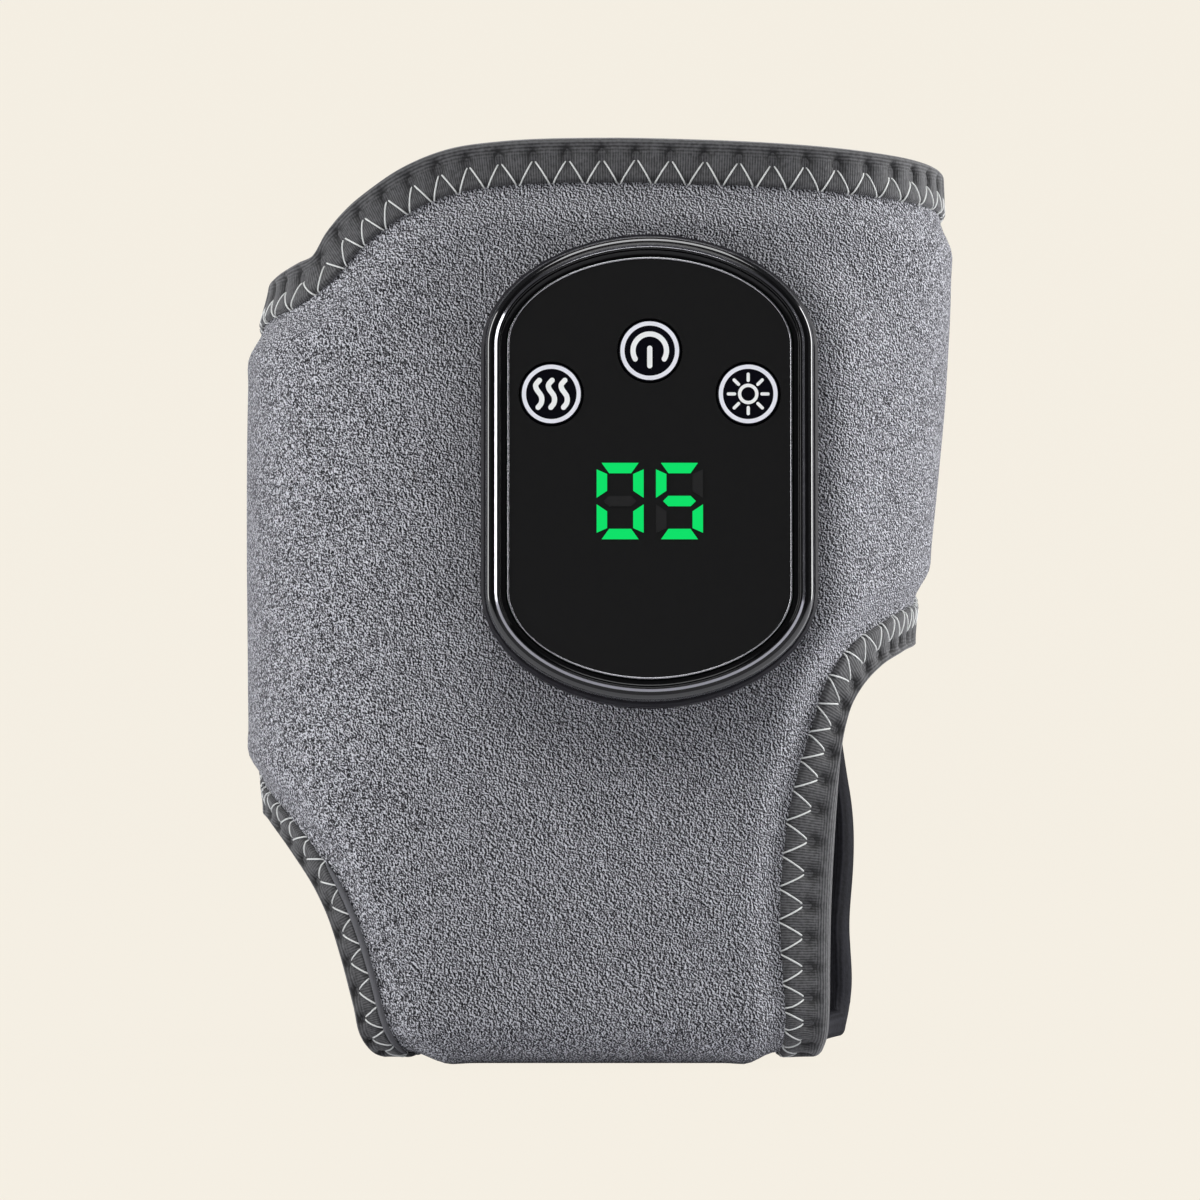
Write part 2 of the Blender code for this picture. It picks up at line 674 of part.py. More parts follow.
def tape_mesh(name, rings):
    """A capped skin over the tape's sections, its legs split on the same diagonals as the cloth's strip."""
    size = len(rings[0])
    points = [point for ring in rings for point in ring]
    cap = [(0, 1, 2, 12), (12, 2, 3, 11), (3, 4, 10, 11), (4, 5, 10), (5, 6, 9, 10), (6, 7, 8, 9)]
    faces = []
    for face in cap:
        faces.append(face)
        faces.append(tuple(len(points) - size + corner for corner in face))
    for r in range(len(rings) - 1):
        for k in range(size):
            a, b = r * size + k, r * size + (k + 1) % size
            c, d = b + size, a + size
            if k in (1, 8):
                split = (a, b, d), (b, c, d)
            else:
                split = (a, b, c), (a, c, d)
            faces += split
    return mesh_from(name, points, faces)


def loft_faces(count, size, closed=False):
    """Quads between rings of equal count, with flat caps or, where closed, joined end to end."""
    faces = [] if closed else [tuple(range(size)), tuple((count - 1) * size + k for k in range(size))]
    for r in range(count if closed else count - 1):
        s = (r + 1) % count
        for k in range(size):
            nxt = (k + 1) % size
            faces.append((r * size + k, r * size + nxt, s * size + nxt, s * size + k))
    return faces


def loft_mesh(name, rings, closed=False):
    """A closed skin over rings of equal count."""
    points = [point for ring in rings for point in ring]
    return mesh_from(name, points, loft_faces(len(rings), len(rings[0]), closed))


# Layers of the wrap and of the panels


def wrap_share(place, distance):
    """0 under the tape, where the wall is squeezed, and 1 at its full thickness, sooner behind the pod."""
    share = smoothstep((distance - TAPE_WIDTH) / SQUEEZE_FADE)
    if abs(place.x) > FOLD or place.y < SOLE_BEND:
        return share
    patch = pod_patch(form_point(*place).x, place.y)
    return max(share, patch * smoothstep((distance - TAPE_WIDTH) / (POD_SQUEEZE_SHARE * SQUEEZE_FADE)))


def wrap_cover_outer(place, distance):
    return -EDGE_SINK * (1 - wrap_share(place, distance))


def wrap_cover_inner(place, distance):
    thickness = mix(COVER_EDGE_THICKNESS, COVER_THICKNESS, wrap_share(place, distance))
    return wrap_cover_outer(place, distance) - thickness


def wrap_lining_outer(place, distance):
    return wrap_cover_inner(place, distance) - mix(LAYER_GAP, CAVITY, wrap_share(place, distance))


def wrap_lining_inner(place, distance):
    thickness = mix(LINING_EDGE_THICKNESS, LINING_THICKNESS, wrap_share(place, distance))
    return wrap_lining_outer(place, distance) - thickness


def panel_level(share):
    """Offset of a panel's inside face: level with the wrap's at the joint, then up onto the far face."""
    return mix(-EDGE_SINK - EDGE_WALL, PANEL_CLEARANCE, smoothstep(share))


def flap_inside(place, distance):
    return panel_level((FLAP_HINGE - place.x) / FLAP_RAMP)


def strap_inside(place, distance):
    return panel_level((place.y - STRAP_HINGE_HEIGHT) / STRAP_RAMP)


def panel_layers(inside):
    """Offset functions of a panel's lining and cover, from that of its inside face."""

    def lining_outer(place, distance):
        return inside(place, distance) + LINING_EDGE_THICKNESS

    def cover_inner(place, distance):
        return lining_outer(place, distance) + LAYER_GAP

    def cover_outer(place, distance):
        fullness = smoothstep((distance - TAPE_WIDTH) / PANEL_FADE)
        return cover_inner(place, distance) + mix(COVER_EDGE_THICKNESS, PANEL_COVER_THICKNESS, fullness)

    return lining_outer, cover_inner, cover_outer


FLAP_HINGE = -(FOLD + FLAP_HINGE_SHARE * CORNER_LENGTH)


def wrap_pattern():
    """The whole wrap but its flap and strap: near face, sole, front fold and the far wing."""
    gap = JOINT_GAP / 2
    hinge = FLAP_HINGE + gap
    flap_top = (hinge, FLAP_TOP_SHARE * COLLAR_HEIGHT)
    flap_foot = (hinge, FLAP_FOOT_SHARE * COLLAR_HEIGHT)
    foot_end = under(FOOT_SOLE_SHARES[0])
    heel_end = under(HEEL_SOLE_SHARES[-1])
    foot_end = (foot_end[0], TONGUE_END + gap)
    heel_end = (heel_end[0], TONGUE_END + gap)
    foot = [foot_end, *map(under, FOOT_SOLE_SHARES[1:]), *map(near, FOOT_NEAR_SHARES)]
    foot.append((FOLD, FRONT_FOLD_FOOT_SHARE * COLLAR_HEIGHT))
    foot += [past_fold(1, shares) for shares in FOOT_PAST_FOLD_SHARES]
    foot += map(far, FOOT_FAR_SHARES)
    wing = [foot[-1], *map(far, WING_SHARES)]
    collar = [wing[-1], *map(far, COLLAR_FAR_SHARES)]
    collar.append((FOLD, FRONT_FOLD_COLLAR_SHARE * COLLAR_HEIGHT))
    collar += map(near, COLLAR_NEAR_SHARES)
    collar.append((-FOLD, BACK_FOLD_COLLAR_SHARE * COLLAR_HEIGHT))
    collar += [past_fold(-1, shares) for shares in COLLAR_PAST_FOLD_SHARES]
    collar.append(flap_top)
    heel = [flap_foot, *[past_fold(-1, shares) for shares in HEEL_PAST_FOLD_SHARES]]
    heel.append((-FOLD, BACK_FOLD_HEEL_SHARE * COLLAR_HEIGHT))
    heel += [*map(near, HEEL_NEAR_SHARES), *map(under, HEEL_SOLE_SHARES[:-1]), heel_end]
    return Pattern([
        ("foot", set_back(smooth_curve(foot, TAPE_STEP), True, False), True),
        ("wing", smooth_curve(wing, TAPE_STEP), True),
        ("collar", set_back(smooth_curve(collar, TAPE_STEP), False, True), True),
        ("flap_joint", joint_points(flap_top, flap_foot), False),
        ("heel", set_back(smooth_curve(heel, TAPE_STEP), True, True), True),
        ("strap_joint", joint_points(heel_end, foot_end), False),
    ])


def flap_pattern():
    hinge = FLAP_HINGE - JOINT_GAP / 2
    top = FLAP_TOP_SHARE * COLLAR_HEIGHT
    foot = FLAP_FOOT_SHARE * COLLAR_HEIGHT
    middle, half = (top + foot) / 2, (top - foot) / 2
    outline = [(hinge - out * FLAP_REACH, middle + up * half) for out, up in FLAP_OUTLINE_SHARES]
    edge = [(hinge, top), *outline, (hinge, foot)]
    return Pattern([
        ("edge", set_back(smooth_curve(edge, TAPE_STEP), True, True), True),
        ("joint", joint_points((hinge, foot), (hinge, top)), False),
    ])


def strap_pattern():
    foot = STRAP_HINGE_HEIGHT + JOINT_GAP / 2
    front, back = FOOT_SOLE_SHARES[0][0], HEEL_SOLE_SHARES[-1][0]
    start = (far((back, foot / COLLAR_HEIGHT))[0], foot)
    end = (far((front, foot / COLLAR_HEIGHT))[0], foot)
    edge = [start, *map(far, STRAP_BACK_SHARES)]
    edge += [far((share, STRAP_TOP_SHARE)) for share in (-0.28, 0.05, 0.38)]
    edge += [*map(far, STRAP_FRONT_SHARES), end]
    return Pattern([
        ("edge", set_back(smooth_curve(edge, TAPE_STEP), True, True), True),
        ("joint", joint_points(end, start), False),
    ])


def patch_pattern(low, high, corner=PATCH_CORNER, step=CLOTH_STEP):
    """A rectangle with round corners on the flat pattern."""
    corner = min(corner, (high[0] - low[0]) / 3, (high[1] - low[1]) / 3)
    points = []
    for k, (p, q) in enumerate(((high[0], high[1]), (low[0], high[1]), (low[0], low[1]), (high[0], low[1]))):
        centre = (p - corner if k in (0, 3) else p + corner, q - corner if k in (0, 1) else q + corner)
        for turn in (0, 45, 90):
            angle = math.radians(90 * k + turn)
            points.append(Vector((centre[0] + corner * math.cos(angle), centre[1] + corner * math.sin(angle))))
    edges = []
    for i, point in enumerate(points):
        following = points[(i + 1) % len(points)]
        edges.append((f"side_{i}", even_points([point, following], step), False))
    return Pattern(edges, step)


def flat_layer(name, low, high, outer, thickness, finish, corner=PATCH_CORNER, step=CLOTH_STEP):
    """A thin patch at a fixed depth in the wall, or over it where outer is positive."""
    pattern = patch_pattern(low, high, corner, step)
    return layer(name, pattern, lambda *_: outer, lambda *_: outer - thickness, finish)


def make_wrap():
    fleece = material("fleece", FLEECE_GREY, 0.95)
    plush = material("lining", LINING_GREY, 0.9)
    knit = material("binding", TAPE_GREY, 0.8)
    pattern = wrap_pattern()
    cover = layer("wrap_cover", pattern, wrap_cover_outer, wrap_cover_inner, fleece)
    layer("wrap_lining", pattern, wrap_lining_outer, wrap_lining_inner, plush)
    for edge, name in (
        ("foot", "foot_opening_binding"),
        ("wing", "wing_end_binding"),
        ("collar", "collar_binding"),
        ("heel", "heel_opening_binding"),
    ):
        tape(name, pattern, edge, wrap_cover_outer, wrap_lining_inner, knit)
    return cover


def make_panel(name, pattern, inside, hinge):
    """A panel that opens: cover, lining and binding, all on an empty that stands on the panel's hinge."""
    fleece = material("fleece", FLEECE_GREY, 0.95)
    plush = material("lining", LINING_GREY, 0.9)
    knit = material("binding", TAPE_GREY, 0.8)
    lining_outer, cover_inner, cover_outer = panel_layers(inside)
    pieces = [
        layer(name + "_cover", pattern, cover_outer, cover_inner, fleece),
        layer(name + "_lining", pattern, lining_outer, inside, plush),
        tape(name + "_binding", pattern, "edge", cover_outer, inside, knit),
    ]
    for piece in pieces:
        stand_on(piece, hinge)


def stand_on(piece, empty):
    """Parents a piece whose points are in the part's frame to an empty, without moving it."""
    piece.parent = empty
    piece.matrix_parent_inverse = empty.matrix_world.inverted()


def hinge_empty(name, start, end):
    """An empty at the middle of a hinge line with its Z axis along the line."""
    empty = bpy.data.objects.new(name, None)
    bpy.context.scene.collection.objects.link(empty)
    turn = (end - start).to_track_quat("Z", "Y").to_matrix().to_4x4()
    empty.matrix_world = Matrix.Translation((start + end) / 2) @ turn
    bpy.context.view_layer.update()
    return empty


def flap_hinge_line():
    """Two points of the flap's hinge, on the outer face of the squeezed wall."""
    return [
        lifted((FLAP_HINGE, share * COLLAR_HEIGHT), -EDGE_SINK)
        for share in (FLAP_FOOT_SHARE, FLAP_TOP_SHARE)
    ]


def strap_hinge_line():
    """Two points of the strap's hinge: level, on the outer face of the squeezed wall at its middle."""
    middle = lifted((ROUND, STRAP_HINGE_HEIGHT), -EDGE_SINK)
    half = Vector((HALF_FACE, 0.0, 0.0))
    return [middle - half, middle + half]


def make_flap():
    hinge = hinge_empty("leg_flap_hinge", *flap_hinge_line())
    make_panel("leg_flap", flap_pattern(), flap_inside, hinge)
    hook = material("hook_pad", LINING_GREY, 0.7)
    start = FLAP_HINGE - FLAP_HOOK_SHARES[0] * FLAP_REACH
    end = FLAP_HINGE - FLAP_HOOK_SHARES[1] * FLAP_REACH
    middle = (FLAP_TOP_SHARE + FLAP_FOOT_SHARE) / 2 * COLLAR_HEIGHT
    half = (FLAP_TOP_SHARE - FLAP_FOOT_SHARE) * FLAP_HOOK_HEIGHT_SHARE / 2 * COLLAR_HEIGHT
    outer = PANEL_CLEARANCE - LAYER_GAP
    pad = flat_layer("leg_flap_hook_pad", (end, middle - half), (start, middle + half), outer, HOOK_THICKNESS, hook)
    stand_on(pad, hinge)


def make_strap():
    hinge = hinge_empty("foot_strap_hinge", *strap_hinge_line())
    make_panel("foot_strap", strap_pattern(), strap_inside, hinge)
    hook = material("hook_pad", LINING_GREY, 0.7)
    (back, front), (low, high) = STRAP_HOOK_SHARES
    corner_a, corner_b = far((front, low)), far((back, high))
    outer = PANEL_CLEARANCE - LAYER_GAP
    pad = flat_layer("foot_strap_hook_pad", corner_a, corner_b, outer, HOOK_THICKNESS, hook)
    stand_on(pad, hinge)


def make_heater():
    """Heating films between cover and lining, the ribbon that joins them, and a temperature sensor."""
    amber = material("heating_film", FILM_AMBER, 0.5)
    ribbon = material("heater_ribbon", LINING_GREY, 0.6)
    back, front = NEAR_FILM_SHARES
    near_low = near((back, NEAR_FILM_FOOT_SHARE))
    near_high = near((front, (POD_HEIGHT + BOSS_Y + FILM_PAST_SCREWS) / COLLAR_HEIGHT))
    flat_layer("near_heating_film", near_low, near_high, -FILM_OUTER, FILM_THICKNESS, amber)
    (back, front), (low, high) = FAR_FILM_SHARES
    far_low, far_high = far((front, low)), far((back, high))
    flat_layer("far_heating_film", far_low, far_high, -FILM_OUTER, FILM_THICKNESS, amber)
    height = RIBBON_HEIGHT_SHARE * COLLAR_HEIGHT
    start = (near_high[0] + LAYER_GAP, height - RIBBON_WIDTH / 2)
    end = (far_low[0] - LAYER_GAP, height + RIBBON_WIDTH / 2)
    flat_layer("heater_link_ribbon", start, end, -FILM_OUTER, FILM_THICKNESS, ribbon, RIBBON_WIDTH / 8)
    sensor = material("sensor_bead", GLOSS_BLACK, 0.4)
    p, q = near((SENSOR_X_SHARE, SENSOR_HEIGHT_SHARE))
    low = (p - SENSOR_LENGTH / 2, q - SENSOR_WIDTH / 2)
    high = (p + SENSOR_LENGTH / 2, q + SENSOR_WIDTH / 2)
    outer = -FILM_OUTER + LAYER_GAP + SENSOR_THICKNESS
    flat_layer("temperature_sensor", low, high, outer, SENSOR_THICKNESS, sensor, SENSOR_WIDTH / 3)


# Control pod


def pod_outline(rim, z):
    """The lens outline grown by rim: straight sides closed by an arch at each end."""
    wide, rise = LENS_HALF_WIDTH + rim, LENS_CAP_RISE + rim
    points = []
    for end in (1, -1):
        for k in range(OUTLINE_POINTS_PER_CAP + 1):
            turn = math.pi * k / OUTLINE_POINTS_PER_CAP
            across = math.copysign(abs(math.cos(turn)) ** (2 / OUTLINE_POWER), math.cos(turn))
            up = math.sin(turn) ** (2 / OUTLINE_POWER) if 0 < k < OUTLINE_POINTS_PER_CAP else 0.0
            points.append(Vector((end * wide * across, end * (LENS_STRAIGHT / 2 + rise * up), z)))
    return points


def pod_loft(name, profile, finish, parent):
    """A solid that follows the pod's outline: profile is a list of (rim, z), both ends capped flat."""
    return new_object(name, loft_mesh(name, [pod_outline(rim, z) for rim, z in profile]), finish, parent)


def round_solid(name, profile, place, finish, parent, sides=ROUND_SIDES):
    """A turned solid on the pod's z axis at (x, y): profile is a list of (radius, z), ends capped."""
    rings = []
    for radius, z in profile:
        turns = [2 * math.pi * k / sides for k in range(sides)]
        rings.append([
            Vector((place[0] + radius * math.cos(turn), place[1] + radius * math.sin(turn), z)) for turn in turns
        ])
    return new_object(name, loft_mesh(name, rings), finish, parent)


def box_solid(name, low, high, finish, parent, bevel=0.0):
    made = bmesh.new()
    bmesh.ops.create_cube(made, size=1.0)
    size = Vector(high) - Vector(low)
    centre = (Vector(high) + Vector(low)) / 2
    bmesh.ops.transform(made, matrix=Matrix.Translation(centre) @ Matrix.Diagonal((*size, 1.0)), verts=made.verts)
    if bevel:
        bmesh.ops.bevel(made, geom=made.edges[:], offset=bevel, segments=2, affect="EDGES", profile=0.5)
    mesh = bpy.data.meshes.new(name)
    made.to_mesh(mesh)
    made.free()
    return new_object(name, mesh, finish, parent)


def combine(target, tool, operation="DIFFERENCE"):
    """Cuts a helper from a piece, or joins it on; the helper stays in the file, hidden from the model."""
    tool.hide_render = True
    tool.display_type = "WIRE"
    change = target.modifiers.new(tool.name, "BOOLEAN")
    change.object = tool
    change.operation = operation
    change.solver = "EXACT"


def pod_empty():
    """The pod's frame: on the near face, leaning back with it."""
    empty = bpy.data.objects.new("pod_frame", None)
    bpy.context.scene.collection.objects.link(empty)
    up = Vector((0.0, LEAN_SLOPE, 1.0)).normalized()
    out = Vector((1.0, 0.0, 0.0)).cross(up)
    turn = Matrix((Vector((1.0, 0.0, 0.0)), up, out)).transposed().to_4x4()
    place = Vector((POD_X, -half_depth(POD_HEIGHT), POD_HEIGHT))
    empty.matrix_world = Matrix.Translation(place) @ turn
    bpy.context.view_layer.update()
    return empty


def make_pod(cover):
    pod = pod_empty()
    make_base(pod)
    make_case(pod)
    make_lens(pod)
    make_electronics(pod)
    for name, place in BUTTON_PLACES.items():
        make_button(name, place, pod)
    make_backing(pod, cover)


BUTTON_PLACES = {
    "power": (0.0, POWER_BUTTON_Y),
    "heat": (-SIDE_BUTTON_X, SIDE_BUTTON_Y),
    "light": (SIDE_BUTTON_X, SIDE_BUTTON_Y),
}
BOSS_PLACES = [(x, y) for y in (BOSS_Y, -BOSS_Y) for x in (-BOSS_X, BOSS_X)]
BOSS_TOP = BOARD_HEIGHT - LAYER_GAP
HOLE_DIAMETER = BUTTON_DIAMETER + 2 * LAYER_GAP
PLATE_UNDERSIDE = CASE_LEDGE - CASE_PLATE
BOARD_TOP = BOARD_HEIGHT + BOARD_THICKNESS
LENS_BACK = CASE_LEDGE + LAYER_GAP
LENS_FRONT = LENS_BACK + LENS_THICKNESS
SWITCH_FOOT = BOARD_TOP + LAYER_GAP
SWITCH_TOP = SWITCH_FOOT + SWITCH_HEIGHT
SOCKET_TOP = BOARD_HEIGHT - LAYER_GAP
BASE_BACK = LAYER_GAP
SCREW_HOLE = SCREW_DIAMETER / 2 + LAYER_GAP
LEAD_HOLE = LEAD_DIAMETER / 2 + GROMMET_WALL + 2 * LAYER_GAP
POD_END = -POD_HALF_LENGTH


def cut_rounds(target, name, places, radius, low, high, finish, pod, sides=SMALL_ROUND_SIDES):
    """Round holes of one size through a piece, between two heights on the pod's z axis."""
    for k, place in enumerate(places):
        combine(target, round_solid(f"{name}_{k}", [(radius, low), (radius, high)], place, finish, pod, sides))


def make_base(pod):
    """Rear half of the housing: an open tray with a chamfered foot and four screw bosses."""
    shell = material("pod_shell", SHELL_GREY, 0.55)
    inner = BASE_RIM - BASE_WALL
    base = pod_loft("pod_base", [
        (BASE_RIM - BASE_CHAMFER, BASE_BACK),
        (BASE_RIM, BASE_BACK + BASE_CHAMFER),
        (BASE_RIM, BASE_HEIGHT - BASE_CHAMFER / 2),
        (BASE_RIM - BASE_CHAMFER / 2, BASE_HEIGHT),
        (inner, BASE_HEIGHT),
        (inner, BASE_BACK + BASE_FLOOR),
    ], shell, pod)
    for k, place in enumerate(BOSS_PLACES):
        column = [(BOSS_DIAMETER / 2, BASE_BACK + BASE_FLOOR / 2), (BOSS_DIAMETER / 2, BOSS_TOP)]
        combine(base, round_solid(f"boss_{k}", column, place, shell, pod, SMALL_ROUND_SIDES), "UNION")
    low = BASE_BACK - CUT_OVERRUN
    cut_rounds(base, "boss_bore", BOSS_PLACES, SCREW_HOLE, low, SCREW_DEPTH + LAYER_GAP, shell, pod)
    high = BASE_BACK + BASE_FLOOR + CUT_OVERRUN
    cut_rounds(base, "lead_passage", [(0.0, LEAD_Y)], LEAD_HOLE, low, high, shell, pod)
    low = (-SOCKET_WIDTH / 2 - LAYER_GAP, POD_END - CUT_OVERRUN, SOCKET_TOP - SOCKET_HEIGHT - LAYER_GAP)
    high = (SOCKET_WIDTH / 2 + LAYER_GAP, POD_END + BASE_WALL + CUT_OVERRUN, SOCKET_TOP + LAYER_GAP)
    combine(base, box_solid("socket_slot", low, high, shell, pod, SOCKET_HEIGHT / 4))


def make_case(pod):
    """Front half: a gloss frame with a rounded shoulder and a crest, and the plate that carries the lens."""
    gloss = material("pod_gloss", GLOSS_BLACK, 0.08)
    seat = BASE_HEIGHT + LAYER_GAP
    inner = FRAME_RIM - CASE_WALL
    recess = TRIM_WIDTH + 2 * LAYER_GAP
    crest = recess + CREST_WIDTH
    core = -LENS_HALF_WIDTH / 4
    case = pod_loft("pod_front_case", [
        (core, PLATE_UNDERSIDE),
        (inner, PLATE_UNDERSIDE),
        (inner, seat),
        (FRAME_RIM - CASE_WALL / 4, seat),
        (FRAME_RIM, seat + CASE_WALL / 4),
        (FRAME_RIM, CASE_HEIGHT - FRAME_SHOULDER),
        *[
            (mix(crest, FRAME_RIM, math.cos(turn)), CASE_HEIGHT - FRAME_SHOULDER * (1 - math.sin(turn)))
            for turn in (math.radians(30), math.radians(60))
        ],
        (crest, CASE_HEIGHT),
        (recess, CASE_HEIGHT - CREST_WIDTH / 6),
        (recess, CASE_LEDGE),
        (core, CASE_LEDGE),
    ], gloss, pod)
    low, high = PLATE_UNDERSIDE - CUT_OVERRUN, CASE_LEDGE + CUT_OVERRUN
    places = BUTTON_PLACES.values()
    cut_rounds(case, "button_opening", places, HOLE_DIAMETER / 2, low, high, gloss, pod, ROUND_SIDES)
    wide, tall = DISPLAY_WIDTH / 2 + LAYER_GAP, DISPLAY_HEIGHT / 2 + LAYER_GAP
    window = (-wide, DISPLAY_Y - tall, low), (wide, DISPLAY_Y + tall, high)
    combine(case, box_solid("display_window", *window, gloss, pod))


def make_lens(pod):
    """Smoked front panel with the button holes, and the bright ring round it."""
    smoked = material("pod_lens", GLOSS_BLACK, 0.05)
    bright = material("pod_trim", SILVER, 0.15, 1.0)
    edge = LENS_THICKNESS / 5
    lens = pod_loft("front_lens", [(0.0, LENS_BACK), (0.0, LENS_FRONT - edge), (-edge, LENS_FRONT)], smoked, pod)
    low, high = LENS_BACK - CUT_OVERRUN, LENS_FRONT + CUT_OVERRUN
    places = BUTTON_PLACES.values()
    cut_rounds(lens, "lens_hole", places, HOLE_DIAMETER / 2, low, high, smoked, pod, ROUND_SIDES)
    top = LENS_FRONT + TRIM_PROUD
    profile = ((LAYER_GAP, LENS_BACK), (LAYER_GAP + TRIM_WIDTH, LENS_BACK), (LAYER_GAP + TRIM_WIDTH, top),
               (LAYER_GAP, top))
    rings = [pod_outline(rim, z) for rim, z in profile]
    new_object("lens_trim_ring", loft_mesh("lens_trim_ring", rings, closed=True), bright, pod)


def make_electronics(pod):
    """Board, display, three switches, charging socket and battery."""
    green = material("circuit_board", BOARD_GREEN, 0.5)
    black = material("display_black", GLOSS_BLACK, 0.3)
    metal = material("switch_metal", SILVER, 0.3, 1.0)
    pod_loft("circuit_board", [(BOARD_RIM, BOARD_HEIGHT), (BOARD_RIM, BOARD_TOP)], green, pod)
    low = (-DISPLAY_WIDTH / 2, DISPLAY_Y - DISPLAY_HEIGHT / 2, BOARD_TOP + LAYER_GAP)
    high = (DISPLAY_WIDTH / 2, DISPLAY_Y + DISPLAY_HEIGHT / 2, CASE_LEDGE - LAYER_GAP)
    box_solid("display_module", low, high, black, pod)
    for name, (x, y) in BUTTON_PLACES.items():
        half = SWITCH_WIDTH / 2
        body = box_solid(
            f"{name}_switch", (x - half, y - half, SWITCH_FOOT), (x + half, y + half, SWITCH_TOP), metal, pod
        )
        radius = PLUNGER_DIAMETER / 2
        column = [(radius, SWITCH_TOP - SWITCH_HEIGHT / 2), (radius, SWITCH_TOP + PLUNGER_HEIGHT)]
        plunger = round_solid(f"{name}_plunger", column, (x, y), metal, pod, SMALL_ROUND_SIDES)
        combine(body, plunger, "UNION")
    make_socket(pod)
    cell = material("battery_cell", CELL_SILVER, 0.35, 0.4)
    low = (-BATTERY_WIDTH / 2, BATTERY_Y - BATTERY_LENGTH / 2, BASE_BACK + BASE_FLOOR + LAYER_GAP)
    high = (BATTERY_WIDTH / 2, BATTERY_Y + BATTERY_LENGTH / 2, BOARD_HEIGHT - 2 * LAYER_GAP)
    box_solid("battery_cell", low, high, cell, pod, BATTERY_FOLD)


def make_socket(pod):
    """Charging socket: a metal shell open towards the pod's lower end, with the contact tongue inside."""
    metal = material("switch_metal", SILVER, 0.3, 1.0)
    mouth = POD_END + SOCKET_INSET
    low = Vector((-SOCKET_WIDTH / 2, mouth, SOCKET_TOP - SOCKET_HEIGHT))
    high = Vector((SOCKET_WIDTH / 2, mouth + SOCKET_DEPTH, SOCKET_TOP))
    shell = box_solid("charging_socket", low, high, metal, pod, SOCKET_HEIGHT / 4)
    wall = Vector((SOCKET_WALL, SOCKET_WALL, SOCKET_WALL))
    inner_low, inner_high = low + wall, high - wall
    inner_low.y = mouth - CUT_OVERRUN
    inner_high.y = high.y - 2 * SOCKET_WALL
    combine(shell, box_solid("socket_cavity", inner_low, inner_high, metal, pod, SOCKET_HEIGHT / 5))
    middle = SOCKET_TOP - SOCKET_HEIGHT / 2
    low = (-SOCKET_WIDTH / 4, mouth + SOCKET_INSET, middle - SOCKET_TONGUE / 2)
    high = (SOCKET_WIDTH / 4, high.y - SOCKET_WALL, middle + SOCKET_TONGUE / 2)
    combine(shell, box_solid("socket_tongue", low, high, metal, pod), "UNION")


def make_button(name, place, pod):
    """A push button: round cap with an eased rim, a flange under the case's plate and a stem to its switch."""
    gloss = material("pod_gloss", GLOSS_BLACK, 0.08)
    radius = BUTTON_DIAMETER / 2
    flange = PLATE_UNDERSIDE - LAYER_GAP
    top = LENS_FRONT + BUTTON_PROUD
    round_solid(f"{name}_button", [
        (STEM_DIAMETER / 2, SWITCH_TOP + PLUNGER_HEIGHT + STEM_CLEARANCE),
        (STEM_DIAMETER / 2, flange - BUTTON_FLANGE_THICKNESS),
        (radius + BUTTON_FLANGE, flange - BUTTON_FLANGE_THICKNESS),
        (radius + BUTTON_FLANGE, flange),
        (radius, flange),
        (radius, top - BUTTON_EDGE),
        (radius - BUTTON_EDGE, top),
    ], place, gloss, pod)


def make_backing(pod, cover):
    """Plate behind the cover, the screws that clamp the cover to the pod, and the heater's lead."""
    shell = material("pod_shell", SHELL_GREY, 0.55)
    steel = material("switch_metal", SILVER, 0.3, 1.0)
    rubber = material("lead_rubber", GLOSS_BLACK, 0.7)
    back = -BACKING_OUTER - BACKING_THICKNESS
    plate = pod_loft("backing_plate", [(-BACKING_INSET, back), (-BACKING_INSET, -BACKING_OUTER)], shell, pod)
    low, high = back - CUT_OVERRUN, CUT_OVERRUN
    for piece in (plate, cover):
        cut_rounds(piece, f"{piece.name}_screw_hole", BOSS_PLACES, SCREW_HOLE, low, high, shell, pod)
        cut_rounds(piece, f"{piece.name}_lead_hole", [(0.0, LEAD_Y)], LEAD_HOLE, low, high, shell, pod)
    seat = -BACKING_OUTER - SCREW_SEAT
    radius = SCREW_HEAD_DIAMETER / 2 + LAYER_GAP
    cut_rounds(plate, "screw_seat", BOSS_PLACES, radius, low, seat, shell, pod)
    for k, place in enumerate(BOSS_PLACES):
        round_solid(f"pod_screw_{k + 1}", [
            (SCREW_HEAD_DIAMETER / 2, back),
            (SCREW_HEAD_DIAMETER / 2, seat - LAYER_GAP),
            (SCREW_DIAMETER / 2, seat - LAYER_GAP),
            (SCREW_DIAMETER / 2, SCREW_DEPTH),
        ], place, steel, pod, SMALL_ROUND_SIDES)
    bore, sleeve = LEAD_DIAMETER / 2 + LAYER_GAP, LEAD_DIAMETER / 2 + LAYER_GAP + GROMMET_WALL
    flange = BASE_BACK + BASE_FLOOR + LAYER_GAP
    profile = (
        (bore, back), (sleeve, back), (sleeve, flange), (sleeve + GROMMET_FLANGE, flange),
        (sleeve + GROMMET_FLANGE, flange + GROMMET_FLANGE_THICKNESS), (bore, flange + GROMMET_FLANGE_THICKNESS),
    )
    turns = [2 * math.pi * k / SMALL_ROUND_SIDES for k in range(SMALL_ROUND_SIDES)]
    rings = [
        [Vector((radius * math.cos(turn), LEAD_Y + radius * math.sin(turn), z)) for turn in turns]
        for radius, z in profile
    ]
    new_object("lead_grommet", loft_mesh("lead_grommet", rings, closed=True), rubber, pod)
    lead = [(LEAD_DIAMETER / 2, back), (LEAD_DIAMETER / 2, BOARD_HEIGHT - LAYER_GAP)]
    round_solid("heater_lead", lead, (0.0, LEAD_Y), rubber, pod, SMALL_ROUND_SIDES)


def main():
    clear_scene()
    cover = make_wrap()
    make_flap()
    make_strap()
    make_heater()
    make_pod(cover)


main()
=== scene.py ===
import math

